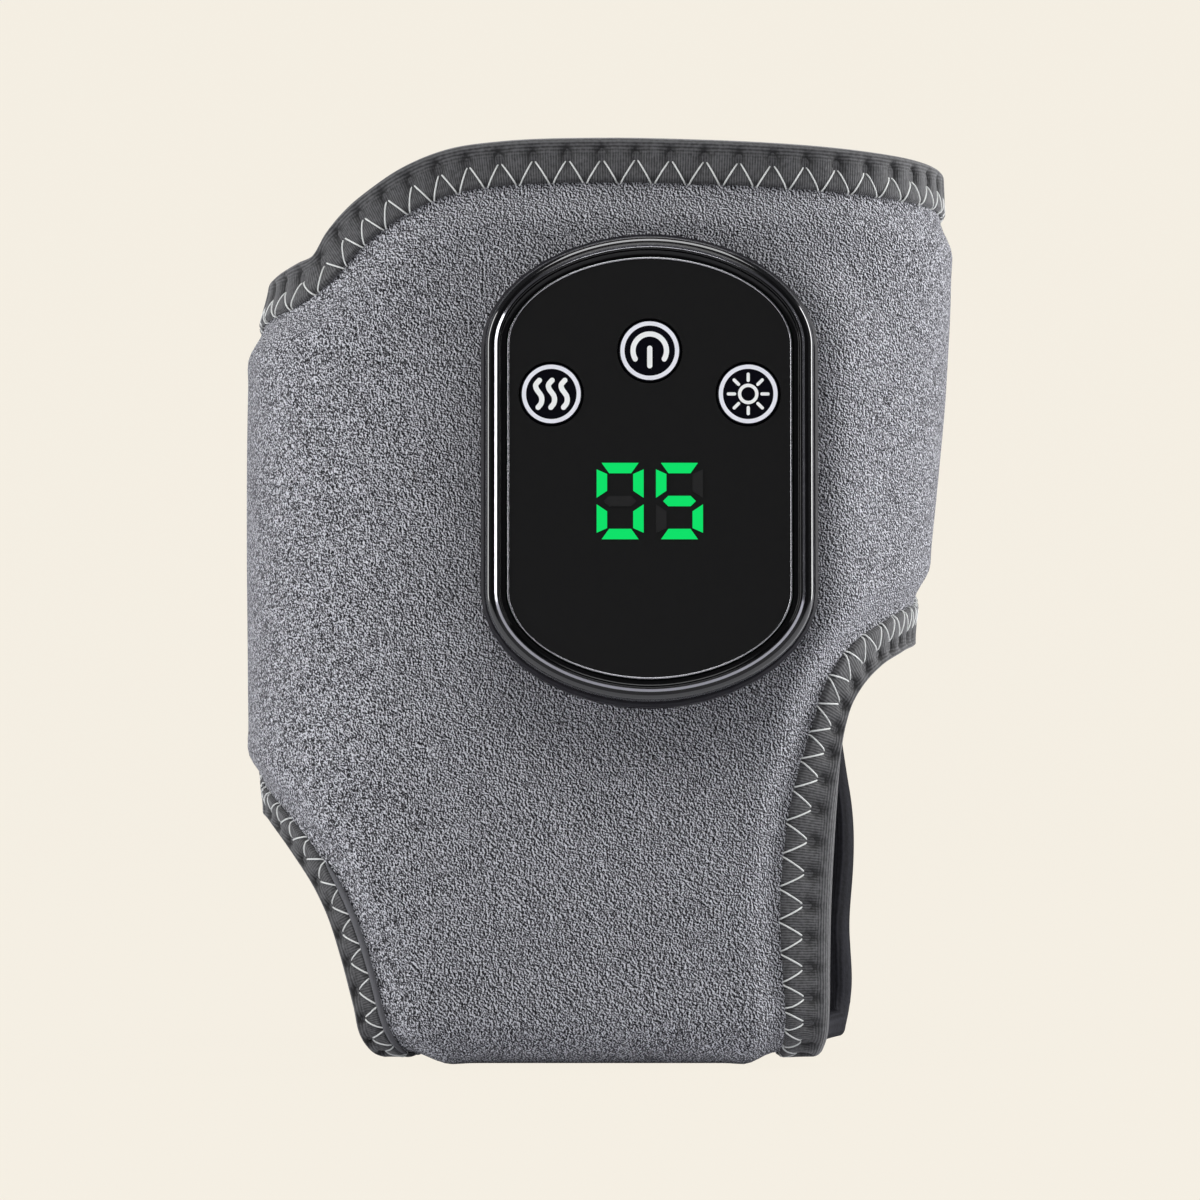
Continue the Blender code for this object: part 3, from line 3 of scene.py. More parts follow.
import bmesh
import bpy
import numpy as np
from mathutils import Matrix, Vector


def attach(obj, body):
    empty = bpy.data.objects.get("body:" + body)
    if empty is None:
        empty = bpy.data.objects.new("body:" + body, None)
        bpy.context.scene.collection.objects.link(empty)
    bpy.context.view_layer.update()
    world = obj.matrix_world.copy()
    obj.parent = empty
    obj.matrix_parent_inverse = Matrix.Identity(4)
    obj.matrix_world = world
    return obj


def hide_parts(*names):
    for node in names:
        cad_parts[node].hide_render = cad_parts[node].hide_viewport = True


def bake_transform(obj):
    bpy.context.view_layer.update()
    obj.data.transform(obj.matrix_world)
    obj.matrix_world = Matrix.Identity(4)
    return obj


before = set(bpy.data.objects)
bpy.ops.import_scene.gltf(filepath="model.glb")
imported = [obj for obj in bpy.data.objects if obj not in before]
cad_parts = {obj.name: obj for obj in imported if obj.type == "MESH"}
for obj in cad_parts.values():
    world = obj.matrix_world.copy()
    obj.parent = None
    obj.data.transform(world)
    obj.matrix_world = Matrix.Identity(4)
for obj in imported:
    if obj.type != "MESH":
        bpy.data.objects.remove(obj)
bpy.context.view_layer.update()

print("stage: frame loaded,", len(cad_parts), "CAD nodes")


# Wrap form, in metres: two flat faces joined by rounded folds, bent under the foot. A place on it is (p, q):
# p runs round the leg from the middle of the near face, q runs up the leg. Below the near face q goes on down
# round the sole, under it and up the strap on the far side.
wrapForm = {
    "width": 0.14,
    "collarHeight": 0.1789,
    "soleDepth": 0.087,
    "collarDepth": 0.073,
    "faceWidth": 0.044,
    "soleBend": 0.011,
    "leanStart": 0.06,
    "strapHingeHeight": 0.02,
    "cornerPower": 2.5,
    "leanEase": 0.004,  # the lean begins over this height
    "frontFold": ((0.0, 0.915), (0.43, 0.911), (0.49, 0.92), (0.54, 0.938), (0.63, 0.961), (0.72, 0.983),
                  (0.82, 0.998), (0.89, 1.002), (0.96, 0.997), (1.05, 0.984)),
    "backFold": ((0.0, 0.985), (0.24, 0.974), (0.29, 0.978), (0.325, 1.001), (0.78, 1.001), (0.815, 0.985),
                 (0.85, 0.957), (1.05, 0.94)),
    "easing": 0.012,  # the measured widths are smoothed over this height
    "heights": (-0.03, 0.24, 0.0005),  # lowest, highest and step of the table of widths
}

halfWidth = wrapForm["width"] / 2
halfFace = wrapForm["faceWidth"] / 2
halfSole = wrapForm["soleDepth"] / 2
collarHeight = wrapForm["collarHeight"]
soleBend = wrapForm["soleBend"]
bendArc = soleBend * math.pi / 2
soleFlat = 2 * (halfSole - soleBend)
solePath = 2 * bendArc + soleFlat + wrapForm["strapHingeHeight"] - soleBend
tongueEnd = soleBend - solePath
leanSlope = (wrapForm["soleDepth"] - wrapForm["collarDepth"]) / 2 / (collarHeight - wrapForm["leanStart"])


def eased(value):
    value = np.clip(value, 0.0, 1.0)
    return value * value * (3 - 2 * value)


def mixed(low, high, share):
    return low + (high - low) * share


def bell(value, width):
    return np.exp(-(value / width) ** 2)


def unit(vectors):
    return vectors / np.maximum(np.linalg.norm(vectors, axis=-1, keepdims=True), 1e-12)


def cornerTable():
    # Superellipse quarter: out = sin(t)^(2/n), deep = cos(t)^(2/n), with the length along it
    turn = np.linspace(0.0, math.pi / 2, 2401)
    out = np.sin(turn) ** (2 / wrapForm["cornerPower"])
    deep = np.clip(np.cos(turn), 0.0, 1.0) ** (2 / wrapForm["cornerPower"])
    run = np.hypot(np.diff(out) * (halfWidth - halfFace), np.diff(deep) * halfSole)
    return np.concatenate([[0.0], np.cumsum(run)]), out, deep


cornerRun, cornerOut, cornerDeep = cornerTable()
cornerLength = cornerRun[-1]
foldPlace = halfFace + cornerLength
roundPlace = 2 * foldPlace


def foldTable(shares):
    # Half width at each height, straight between the measured shares and then smoothed
    heights = np.arange(*wrapForm["heights"])
    at, share = np.array(shares).T
    widths = np.interp(heights / collarHeight, at, share) * halfWidth
    window = np.hanning(int(wrapForm["easing"] / wrapForm["heights"][2]) | 1)
    padded = np.pad(widths, len(window) // 2, mode="edge")
    return heights, np.convolve(padded, window / window.sum(), mode="valid")


frontTable = foldTable(wrapForm["frontFold"])
backTable = foldTable(wrapForm["backFold"])


def foldHalfWidth(height, side):
    return np.where(side > 0, np.interp(height, *frontTable), np.interp(height, *backTable))


def halfDepth(height):
    # Upright to the lean's start, then in at the lean's slope
    past, ease = height - wrapForm["leanStart"], wrapForm["leanEase"]
    return halfSole - leanSlope * (past + np.sqrt(past * past + ease * ease) - ease) / 2


podForm = {
    "x": 0.0095,
    "margin": 0.0188,  # from the collar's top to the pod's base
    "halfWidth": 0.0273,
    "straight": 0.0472,
    "capRise": 0.0169,
    "power": 1.93,
    "baseRim": 0.0051,
    "patchMargin": 0.0012,
    "patchFade": 0.013,
}
podHalfLength = podForm["straight"] / 2 + podForm["capRise"] + podForm["baseRim"]
podHeight = collarHeight - podForm["margin"] - podHalfLength
podUp = np.array([0.0, leanSlope, 1.0]) / math.hypot(leanSlope, 1.0)
podOut = np.cross([1.0, 0.0, 0.0], podUp)
podOrigin = np.array([podForm["x"], float(-halfDepth(np.array(podHeight))), podHeight])


def podPatch(x, height):
    # 1 within the pod's base outline, fading to 0 outside it
    wide = podForm["halfWidth"] + podForm["baseRim"]
    across = np.abs(x - podForm["x"]) / (wide + podForm["patchMargin"])
    past = np.maximum(0.0, np.abs(height - podHeight) - podForm["straight"] / 2)
    along = past / (podForm["capRise"] + podForm["baseRim"] + podForm["patchMargin"])
    reach = ((across ** podForm["power"] + along ** podForm["power"]) ** (1 / podForm["power"]) - 1) * wide
    return 1 - eased(reach / podForm["patchFade"])


def formPoint(p, q):
    # Below the bend the path turns a quarter round, runs flat under the sole and turns up the far side
    p = (p + roundPlace) % (2 * roundPlace) - roundPlace
    side = np.where(p >= 0, 1.0, -1.0)
    along = np.abs(p)
    isFar = along > foldPlace
    along = np.where(isFar, roundPlace - along, along)
    run = np.maximum(along - halfFace, 0.0)
    out = np.interp(run, cornerRun, cornerOut)
    deep = np.interp(run, cornerRun, cornerDeep)
    down = soleBend - q
    rise = np.maximum(down - 2 * bendArc - soleFlat, 0.0)
    height = np.where(rise > 0, soleBend + rise, np.maximum(q, soleBend))
    x = side * (np.minimum(along, halfFace) + (foldHalfWidth(height, side) - halfFace) * out)
    depth = halfDepth(height)
    nearY = -depth * mixed(deep, 1.0, podPatch(x, height))
    reach = halfSole * deep
    firstTurn = np.clip(down, 0.0, bendArc) / soleBend
    flatRun = np.clip(down - bendArc, 0.0, soleFlat)
    lastTurn = np.clip(down - bendArc - soleFlat, 0.0, bendArc) / soleBend
    soleY = -reach + soleBend * (1 - np.cos(firstTurn)) + (reach - soleBend) * 2 * flatRun / soleFlat
    soleY = soleY + soleBend * np.sin(lastTurn) + (depth - halfSole) * deep * (rise > 0)
    soleZ = soleBend * (1 - np.sin(firstTurn)) + soleBend * (1 - np.cos(lastTurn)) + rise
    y = np.where(isFar, depth * deep, np.where(q >= soleBend, nearY, soleY))
    z = np.where(isFar | (q >= soleBend), height, soleZ)
    return np.stack([x, y, z], -1)


def lifted(p, q, offset):
    # The form's point moved along its outward direction, found by small steps across and up
    step = 0.0004
    across = formPoint(p + step, q) - formPoint(p - step, q)
    upward = formPoint(p, q + step) - formPoint(p, q - step)
    return formPoint(p, q) + unit(np.cross(across, upward)) * np.asarray(offset)[..., None]


# Places on the flat pattern, from shares of the half width and of the collar's height

def nearPlace(shares):
    share, height = np.array(shares, float).T
    x, q = share * halfWidth, height * collarHeight
    side = np.where(x >= 0, 1.0, -1.0)
    out = (np.abs(x) - halfFace) / (foldHalfWidth(q, side) - halfFace)
    curved = halfFace + np.interp(out, cornerOut, cornerRun)
    return np.stack([side * np.where(np.abs(x) <= halfFace, np.abs(x), curved), q], -1)


def farPlace(shares):
    place = nearPlace(shares)
    return np.stack([roundPlace - place[:, 0], place[:, 1]], -1)


def solePlace(shares):
    shares = np.array(shares, float)
    atBend = np.stack([shares[:, 0], np.full(len(shares), soleBend / collarHeight)], -1)
    return np.stack([nearPlace(atBend)[:, 0], soleBend - shares[:, 1] * solePath], -1)


def strapPlace(shares):
    place = nearPlace(shares)
    return np.stack([place[:, 0], tongueEnd - (place[:, 1] - wrapForm["strapHingeHeight"])], -1)


def frontPlace(shares):
    # From the front fold on, as shares of a fold's half length
    share, height = np.array(shares, float).T
    return np.stack([foldPlace + share * cornerLength, height * collarHeight], -1)


def backPlace(shares):
    return frontPlace(shares) * [-1, 1]


def evenly(line, step):
    # The same line with points a step apart along its length
    run = np.concatenate([[0.0], np.cumsum(np.linalg.norm(np.diff(line, axis=0), axis=1))])
    goal = np.linspace(0.0, run[-1], max(2, round(run[-1] / step) + 1))
    return np.stack([np.interp(goal, run, column) for column in line.T], -1)


def curveThrough(points, step):
    # Cubic spans through the points, each slope weighted by the two spans beside it
    span = np.linalg.norm(np.diff(points, axis=0), axis=1)[:, None]
    slope = np.diff(points, axis=0) / span
    middle = (slope[:-1] * span[1:] + slope[1:] * span[:-1]) / (span[1:] + span[:-1])
    slopes = np.concatenate([slope[:1], middle, slope[-1:]])
    t = np.linspace(0.0, 1.0, 25)[None, 1:, None]
    a, b = points[:-1, None], points[1:, None]
    sa, sb = (slopes[:-1] * span)[:, None], (slopes[1:] * span)[:, None]
    fine = a * (2 * t**3 - 3 * t**2 + 1) + b * (3 * t**2 - 2 * t**3)
    fine = fine + sa * (t**3 - 2 * t**2 + t) + sb * (t**3 - t**2)
    return evenly(np.concatenate([points[:1], fine.reshape(-1, 2)]), step)


# The flap: its hinge's way past the back fold, and its top and foot as shares of the collar's height
flapForm = {
    "hinge": 0.36,
    "top": 0.829,
    "foot": 0.542,
    "reach": 0.073,
}
gridForm = {
    "edgeStep": 0.0006,
    "gridStep": 0.0016,
    "splitSteps": 8,  # grid steps from a hinge to where its panel's fabric begins
}
flapHinge = -(foldPlace + flapForm["hinge"] * cornerLength)
flapSplit = (round(flapHinge / gridForm["gridStep"]) + gridForm["splitSteps"]) * gridForm["gridStep"]
strapSplit = (round(tongueEnd / gridForm["gridStep"]) + gridForm["splitSteps"]) * gridForm["gridStep"]


def flapPlace(shares):
    # Shares of the flap's reach and of its half height
    out, up = np.array(shares).T
    top, foot = flapForm["top"] * collarHeight, flapForm["foot"] * collarHeight
    return np.stack([flapHinge - out * flapForm["reach"], (top + foot) / 2 + up * (top - foot) / 2], -1)


# Cut edges in turn round the whole pattern, which flap and strap belong to. Each starts where the last one ends.
wrapCut = {
    "foot": (
        (solePlace, ((0.74, 1.0), (0.744, 0.917), (0.708, 0.79), (0.655, 0.64), (0.605, 0.43), (0.59, 0.16),
                     (0.604, 0.1), (0.616, 0.06), (0.622, 0.0))),
        (nearPlace, ((0.622, 0.107), (0.624, 0.165), (0.632, 0.223), (0.645, 0.278), (0.667, 0.332), (0.686, 0.368),
                     (0.708, 0.393), (0.745, 0.415), (0.8, 0.435), (0.865, 0.449))),
        (frontPlace, ((0.0, 0.46), (0.13, 0.472), (0.25, 0.463))),
        (farPlace, ((0.82, 0.435), (0.755, 0.394), (0.7, 0.355), (0.625, 0.327), (0.52, 0.317)))),
    "wing": (
        (farPlace, ((0.3, 0.314), (0.0, 0.316), (-0.24, 0.324), (-0.375, 0.351), (-0.46, 0.404), (-0.486, 0.479),
                    (-0.49, 0.65), (-0.486, 0.791), (-0.455, 0.862), (-0.375, 0.904))),),
    "collar": (
        (farPlace, ((-0.2, 0.93), (0.1, 0.942), (0.45, 0.952), (0.8, 0.961))),
        (frontPlace, ((0.0, 0.97),)),
        (nearPlace, ((0.85, 0.984), (0.56, 0.993), (0.28, 0.998), (0.0, 1.0), (-0.28, 0.996), (-0.42, 0.988),
                     (-0.56, 0.967), (-0.635, 0.949), (-0.705, 0.929), (-0.772, 0.902), (-0.815, 0.877),
                     (-0.865, 0.869), (-0.93, 0.858))),
        (backPlace, ((0.0, 0.848), (0.18, 0.836), (flapForm["hinge"], flapForm["top"])))),
    "flap": (
        (flapPlace, ((0.3, 1.0), (0.52, 0.995), (0.7, 0.96), (0.86, 0.78), (0.965, 0.43), (1.0, 0.0), (0.965, -0.43),
                     (0.86, -0.78), (0.7, -0.96), (0.52, -0.995), (0.3, -1.0))),
        (backPlace, ((flapForm["hinge"], flapForm["foot"]),))),
    "heel": (
        (backPlace, ((0.285, 0.534), (0.225, 0.462), (0.185, 0.382), (0.12, 0.308), (0.0, 0.277))),
        (nearPlace, ((-0.944, 0.261), (-0.906, 0.245), (-0.857, 0.222), (-0.81, 0.197), (-0.769, 0.168),
                     (-0.724, 0.12), (-0.698, 0.085))),
        (solePlace, ((-0.682, 0.0), (-0.668, 0.048), (-0.64, 0.095), (-0.59, 0.16), (-0.54, 0.45), (-0.535, 0.75),
                     (-0.55, 0.917), (-0.56, 1.0)))),
    "strap": (
        (strapPlace, ((-0.57, 0.16), (-0.582, 0.28), (-0.572, 0.39), (-0.525, 0.464), (-0.43, 0.496), (-0.28, 0.5),
                      (0.05, 0.5), (0.38, 0.5), (0.5, 0.496), (0.6, 0.464), (0.648, 0.385), (0.686, 0.285),
                      (0.728, 0.175))),),
}


def patternEdges():
    edges, last = {}, np.zeros((0, 2))
    for name, parts in wrapCut.items():
        edges[name] = np.concatenate([last, *[place(shares) for place, shares in parts]])
        last = edges[name][-1:]
    edges["strap"] = np.concatenate([edges["strap"], edges["foot"][:1]])
    return {name: curveThrough(edge, gridForm["edgeStep"]) for name, edge in edges.items()}


patternLines = patternEdges()
loopLine = np.concatenate([edge[:-1] for edge in patternLines.values()])
loopStep = np.linalg.norm(np.roll(loopLine, -1, axis=0) - loopLine, axis=1)
loopRun = np.concatenate([[0.0], np.cumsum(loopStep)])
loopLength = loopRun[-1]
edgeCounts = [len(edge) - 1 for edge in patternLines.values()]
edgeOwner = np.repeat(np.arange(len(edgeCounts)), edgeCounts)
edgeNames = list(patternLines)


def splitIndex(name, column, value):
    # Index of the loop's point on this edge that is nearest the split line, moved onto it
    inside = np.flatnonzero(edgeOwner == edgeNames.index(name))
    index = inside[np.abs(loopLine[inside, column] - value).argmin()]
    loopLine[index, column] = value
    return index


collarSplit, heelTopSplit = splitIndex("collar", 0, flapSplit), splitIndex("heel", 0, flapSplit)
heelFootSplit, footSplit = splitIndex("heel", 1, strapSplit), splitIndex("foot", 1, strapSplit)


def loopPart(start, end):
    index = np.arange(start, end + 1 if end > start else end + 1 + len(loopLine)) % len(loopLine)
    return loopLine[index]


def closedPart(*parts):
    # Parts of the loop joined by straight lines into one closed outline
    step = 2 * gridForm["edgeStep"]
    pieces = []
    for part, after in zip(parts, (*parts[1:], parts[0])):
        pieces += [evenly(part, step)[:-1], evenly(np.array([part[-1], after[0]]), step)[:-1]]
    return np.concatenate(pieces)


def rounded(values, length):
    # Values along the closed loop smoothed with a bell as long as this
    half = int(length / loopStep.mean()) // 2
    window = np.hanning(2 * half + 3)[1:-1]
    window = window / window.sum()
    padded = np.concatenate([values[-half:], values, values[:half]])
    return np.stack([np.convolve(column, window, mode="valid") for column in padded.T], -1)


def edgeDistance(places, outline):
    # Distance inside a closed outline, negative outside it, with the nearest point on it
    a = outline
    b = np.roll(a, -1, axis=0)
    run = b - a
    length = np.maximum((run * run).sum(1), 1e-14)
    signed, nearest, where = [], [], []
    for block in np.array_split(places, max(1, len(places) // 1500)):
        offset = block[:, None] - a[None]
        share = np.clip((offset * run).sum(2) / length, 0.0, 1.0)
        gap = offset - share[..., None] * run
        square = (gap * gap).sum(2)
        best = square.argmin(1)
        rows = np.arange(len(block))
        crosses = (a[:, 1] > block[:, 1:]) != (b[:, 1] > block[:, 1:])
        rise = np.where(run[:, 1] == 0, 1e-14, run[:, 1])
        hits = crosses & (block[:, :1] < run[:, 0] * (block[:, 1:] - a[:, 1]) / rise + a[:, 0])
        inside = hits.sum(1) % 2 == 1
        signed.append(np.where(inside, 1.0, -1.0) * np.sqrt(square[rows, best]))
        nearest.append(block - gap[rows, best])
        where.append(best)
    return np.concatenate(signed), np.concatenate(nearest), np.concatenate(where)


def filledOutline(outline, step):
    # Square grid over an outline. A point within half a step of the outline moves onto it, cells outside go,
    # and a cell with one corner outside keeps the triangle of its other three.
    low, high = outline.min(0) - 2 * step, outline.max(0) + 2 * step
    first = np.floor(low / step).astype(int)
    count = np.ceil(high / step).astype(int) - first
    columns, rows = step * (first[0] + np.arange(count[0])), step * (first[1] + np.arange(count[1]))
    grid = np.stack(np.meshgrid(columns, rows, indexing="ij"), -1).reshape(-1, 2)
    signed, nearest, _ = edgeDistance(grid, outline)
    onEdge = np.abs(signed) < step / 2
    places = np.where(onEdge[:, None], nearest, grid)
    state = np.where(onEdge, 0, np.sign(signed))
    index = np.arange(len(grid)).reshape(count)
    cells = np.stack([index[:-1, :-1], index[1:, :-1], index[1:, 1:], index[:-1, 1:]], -1).reshape(-1, 4)
    states = state[cells]
    quads = cells[(states >= 0).all(1) & (states > 0).any(1)]
    threes = ((states >= 0).sum(1) == 3) & (states > 0).any(1)
    corner = states[threes].argmin(1)
    turned = (corner[:, None] + np.arange(1, 4)) % 4
    triangles = np.take_along_axis(cells[threes], turned, 1)
    used = np.unique(np.concatenate([quads.ravel(), triangles.ravel()]))
    renumber = np.zeros(len(grid), int)
    renumber[used] = np.arange(len(used))
    return places[used], renumber[quads], renumber[triangles]


def rimOf(count, *faceSets):
    # Directed edges that no neighbouring face runs the other way
    edges = np.concatenate([
        np.stack([faces, np.roll(faces, -1, axis=1)], -1).reshape(-1, 2) for faces in faceSets if len(faces)
    ])
    there, back = edges[:, 0] * count + edges[:, 1], edges[:, 1] * count + edges[:, 0]
    return edges[~np.isin(there, back)]


def putMesh(name, points, faceSets, material, smooth=True):
    mesh = bpy.data.meshes.new(name)
    faces = [face for faces in faceSets for face in np.asarray(faces).tolist()]
    mesh.from_pydata(np.asarray(points, float).tolist(), [], faces)
    mesh.polygons.foreach_set("use_smooth", np.full(len(mesh.polygons), smooth))
    mesh.update()
    piece = bpy.data.objects.new(name, mesh)
    bpy.context.scene.collection.objects.link(piece)
    mesh.materials.append(material)
    return piece


def settle(piece, sharpAngle=None, merge=0.0):
    # Doubles merged, faces turned outwards, and edges steeper than the angle kept sharp
    made = bmesh.new()
    made.from_mesh(piece.data)
    if merge:
        bmesh.ops.remove_doubles(made, verts=made.verts, dist=merge)
    bmesh.ops.recalc_face_normals(made, faces=made.faces)
    if sharpAngle:
        for edge in made.edges:
            edge.smooth = len(edge.link_faces) == 2 and edge.calc_face_angle(0.0) < math.radians(sharpAngle)
    made.to_mesh(piece.data)
    made.free()
    return piece


def endFaces(rows, columns):
    # The two ends of a rod made of rows of points
    ends = np.arange(columns)[None]
    return [ends[:, ::-1], ends + (rows - 1) * columns]


def gridFaces(rows, columns, closed=True, ringed=False):
    # Quads between rows of points: each row a closed ring where closed, last row to first where ringed
    index = np.arange(rows * columns).reshape(rows, columns)
    if closed:
        index = np.concatenate([index, index[:, :1]], 1)
    if ringed:
        index = np.concatenate([index, index[:1]], 0)
    return np.stack([index[:-1, :-1], index[:-1, 1:], index[1:, 1:], index[1:, :-1]], -1).reshape(-1, 4)


# Finishes

def newFinish(name, colour, roughness, **sockets):
    material = bpy.data.materials.new(name)
    material.use_nodes = True
    material.diffuse_color = (*colour, 1.0)
    shader = material.node_tree.nodes["Principled BSDF"]
    shader.inputs["Base Color"].default_value = (*colour, 1.0)
    shader.inputs["Roughness"].default_value = roughness
    for socket, value in sockets.items():
        shader.inputs[socket.replace("_", " ")].default_value = value
    return material


def addNode(material, kind, links=None, **values):
    # A node with its values set and its inputs linked: links is {input: output socket}
    node = material.node_tree.nodes.new("ShaderNode" + kind)
    for name, value in values.items():
        if hasattr(node, name):
            setattr(node, name, value)
        else:
            node.inputs[name.replace("_", " ")].default_value = value
    for name, output in (links or {}).items():
        material.node_tree.links.new(output, node.inputs[name])
    return node


def mathNode(material, operation, *inputs):
    # A sum, product or other Math node whose inputs are sockets or plain numbers
    node = addNode(material, "Math", operation=operation)
    for slot, value in enumerate(inputs):
        if isinstance(value, (int, float)):
            node.inputs[slot].default_value = value
        else:
            material.node_tree.links.new(value, node.inputs[slot])
    return node.outputs["Value"]


def linkTo(material, output, socket):
    shader = material.node_tree.nodes["Principled BSDF"]
    material.node_tree.links.new(output, shader.inputs[socket])


def objectPlace(material):
    return addNode(material, "TexCoord").outputs["Object"]


def noise(material, place, scale, detail=2.0, warp=0.0):
    node = addNode(material, "TexNoise", {"Vector": place}, Scale=scale, Detail=detail, Distortion=warp)
    return node.outputs["Fac"]


def rangeNode(material, source, fromLow, fromHigh, toLow, toHigh):
    node = addNode(material, "MapRange", {"Value": source}, From_Min=fromLow, From_Max=fromHigh, To_Min=toLow,
                   To_Max=toHigh)
    return node.outputs["Result"]


def bumpBy(material, height, strength, distance):
    bump = addNode(material, "Bump", {"Height": height}, Strength=strength, Distance=distance)
    linkTo(material, bump.outputs["Normal"], "Normal")


def colourRamp(material, source, stops):
    ramp = addNode(material, "ValToRGB", {"Fac": source})
    elements = ramp.color_ramp.elements
    while len(elements) < len(stops):
        elements.new(0.5)
    for element, (place, colour) in zip(elements, stops):
        element.position = place
        element.color = (*colour, 1.0)
    return ramp.outputs["Color"]


def fromScreen(red, green, blue):
    # Screen colour, 0 to 255, to the linear values a shader takes
    value = np.array([red, green, blue]) / 255
    return tuple(np.where(value <= 0.04045, value / 12.92, ((value + 0.055) / 1.055) ** 2.4).tolist())


fleeceLook = {
    "stops": ((0.35, fromScreen(8, 8, 10)), (0.45, fromScreen(89, 89, 92)),
              (0.56, fromScreen(138, 138, 143)), (0.68, fromScreen(214, 215, 221))),
    "grain": 2650.0,
    "grainWarp": 0.3,
    "shift": (0.00019, 0.00005, 0.0001),
    "contrast": 1.3,
    "cloud": 90.0,
    "cloudShare": 0.04,
    "level": 0.48,
    "bump": 0.0005,
}


def fleeceFinish():
    # A warped noise less its own shifted copy leaves short worm-like strokes. Faint clouds and a bump go with it.
    look = fleeceLook
    made = newFinish("heatheredFleece", fromScreen(126, 126, 132), 0.95, Sheen_Weight=0.35, Sheen_Roughness=0.5,
                     Sheen_Tint=(*fromScreen(230, 230, 238), 1.0), Specular_IOR_Level=0.1)
    at = objectPlace(made)
    shifted = addNode(made, "VectorMath", {0: at}, operation="ADD")
    shifted.inputs[1].default_value = look["shift"]
    grains = [noise(made, where, look["grain"], 1.0, look["grainWarp"]) for where in (at, shifted.outputs["Vector"])]
    worms = mathNode(made, "SUBTRACT", *grains)
    cloud = noise(made, at, look["cloud"], 1.0)
    level = mathNode(made, "MULTIPLY_ADD", cloud, look["cloudShare"], look["level"])
    total = mathNode(made, "MULTIPLY_ADD", worms, look["contrast"], level)
    linkTo(made, colourRamp(made, total, look["stops"]), "Base Color")
    bumpBy(made, total, 0.8, look["bump"])
    return made


def liningFinish():
    made = newFinish("smoothLining", fromScreen(52, 52, 56), 0.7, Sheen_Weight=0.2)
    weave = noise(made, objectPlace(made), 2600.0)
    shade = colourRamp(made, weave, [(0.3, fromScreen(44, 44, 48)), (0.7, fromScreen(57, 57, 61))])
    linkTo(made, shade, "Base Color")
    bumpBy(made, weave, 0.3, 0.0002)
    return made


tapeLook = {
    "acrossLines": 620.0,  # fine ribs across the tape
    "alongLines": 480.0,  # lines along it beside the fold
    "rim": (-0.003, -0.0026),  # past the cut edge, where a painted highlight lightens a wide fold of the tape
    "rimHighlightColour": fromScreen(150, 151, 152),
    "linesTurn": (0.0008, 0.0026),  # inward from the cut edge to where the lines turn
    "speckShare": 0.65,
    "dentShade": 0.34,  # painted shade: the stitches' hollows are darkened
}


def bindingFinish(name, dark, light, **sockets):
    # Knitted tape on the tape's own map in metres: ribs across it where it is stitched, lines along it at the fold
    made = newFinish(name, light, 0.75, **sockets)
    place = addNode(made, "UVMap", uv_map="flat").outputs["UV"]
    ribs, lines = [
        addNode(made, "TexWave", {"Vector": place}, Scale=tapeLook[scale], Distortion=warp, bands_direction=way)
        for scale, warp, way in (("acrossLines", 1.2, "X"), ("alongLines", 0.8, "Y"))
    ]
    inward = addNode(made, "SeparateXYZ", {"Vector": place}).outputs["Y"]
    turn = rangeNode(made, inward, *tapeLook["linesTurn"], 0.0, 1.0)
    both = addNode(made, "Mix", {0: turn, 2: lines.outputs["Fac"], 3: ribs.outputs["Fac"]}, data_type="FLOAT")
    speck = mathNode(made, "MULTIPLY", noise(made, objectPlace(made), 1500.0), tapeLook["speckShare"])
    total = mathNode(made, "MULTIPLY_ADD", both.outputs[0], 1 - tapeLook["speckShare"], speck)
    # painted shade: the tape is darkened where the stitches dent it
    dent = addNode(made, "Attribute", attribute_name="dent").outputs["Fac"]
    total = mathNode(made, "SUBTRACT", total, mathNode(made, "MULTIPLY", dent, tapeLook["dentShade"]))
    # painted highlight: the tape's fold past the cut edge is mixed towards rimHighlightColour
    rim = rangeNode(made, inward, *tapeLook["rim"], 1.0, 0.0)
    tone = addNode(made, "Mix", {0: rim, 6: colourRamp(made, total, [(0.29, dark), (0.71, light)])}, data_type="RGBA")
    tone.inputs[7].default_value = (*tapeLook["rimHighlightColour"], 1.0)
    linkTo(made, tone.outputs[2], "Base Color")
    bumpBy(made, total, 0.5, 0.0003)
    return made


fleece = fleeceFinish()
lining = liningFinish()
greyBinding = bindingFinish("greyBinding", fromScreen(32, 32, 33), fromScreen(86, 86, 88), Sheen_Weight=0.25)
darkBinding = bindingFinish("darkBinding", fromScreen(29, 29, 32), fromScreen(43, 43, 48), Specular_IOR_Level=0.1)

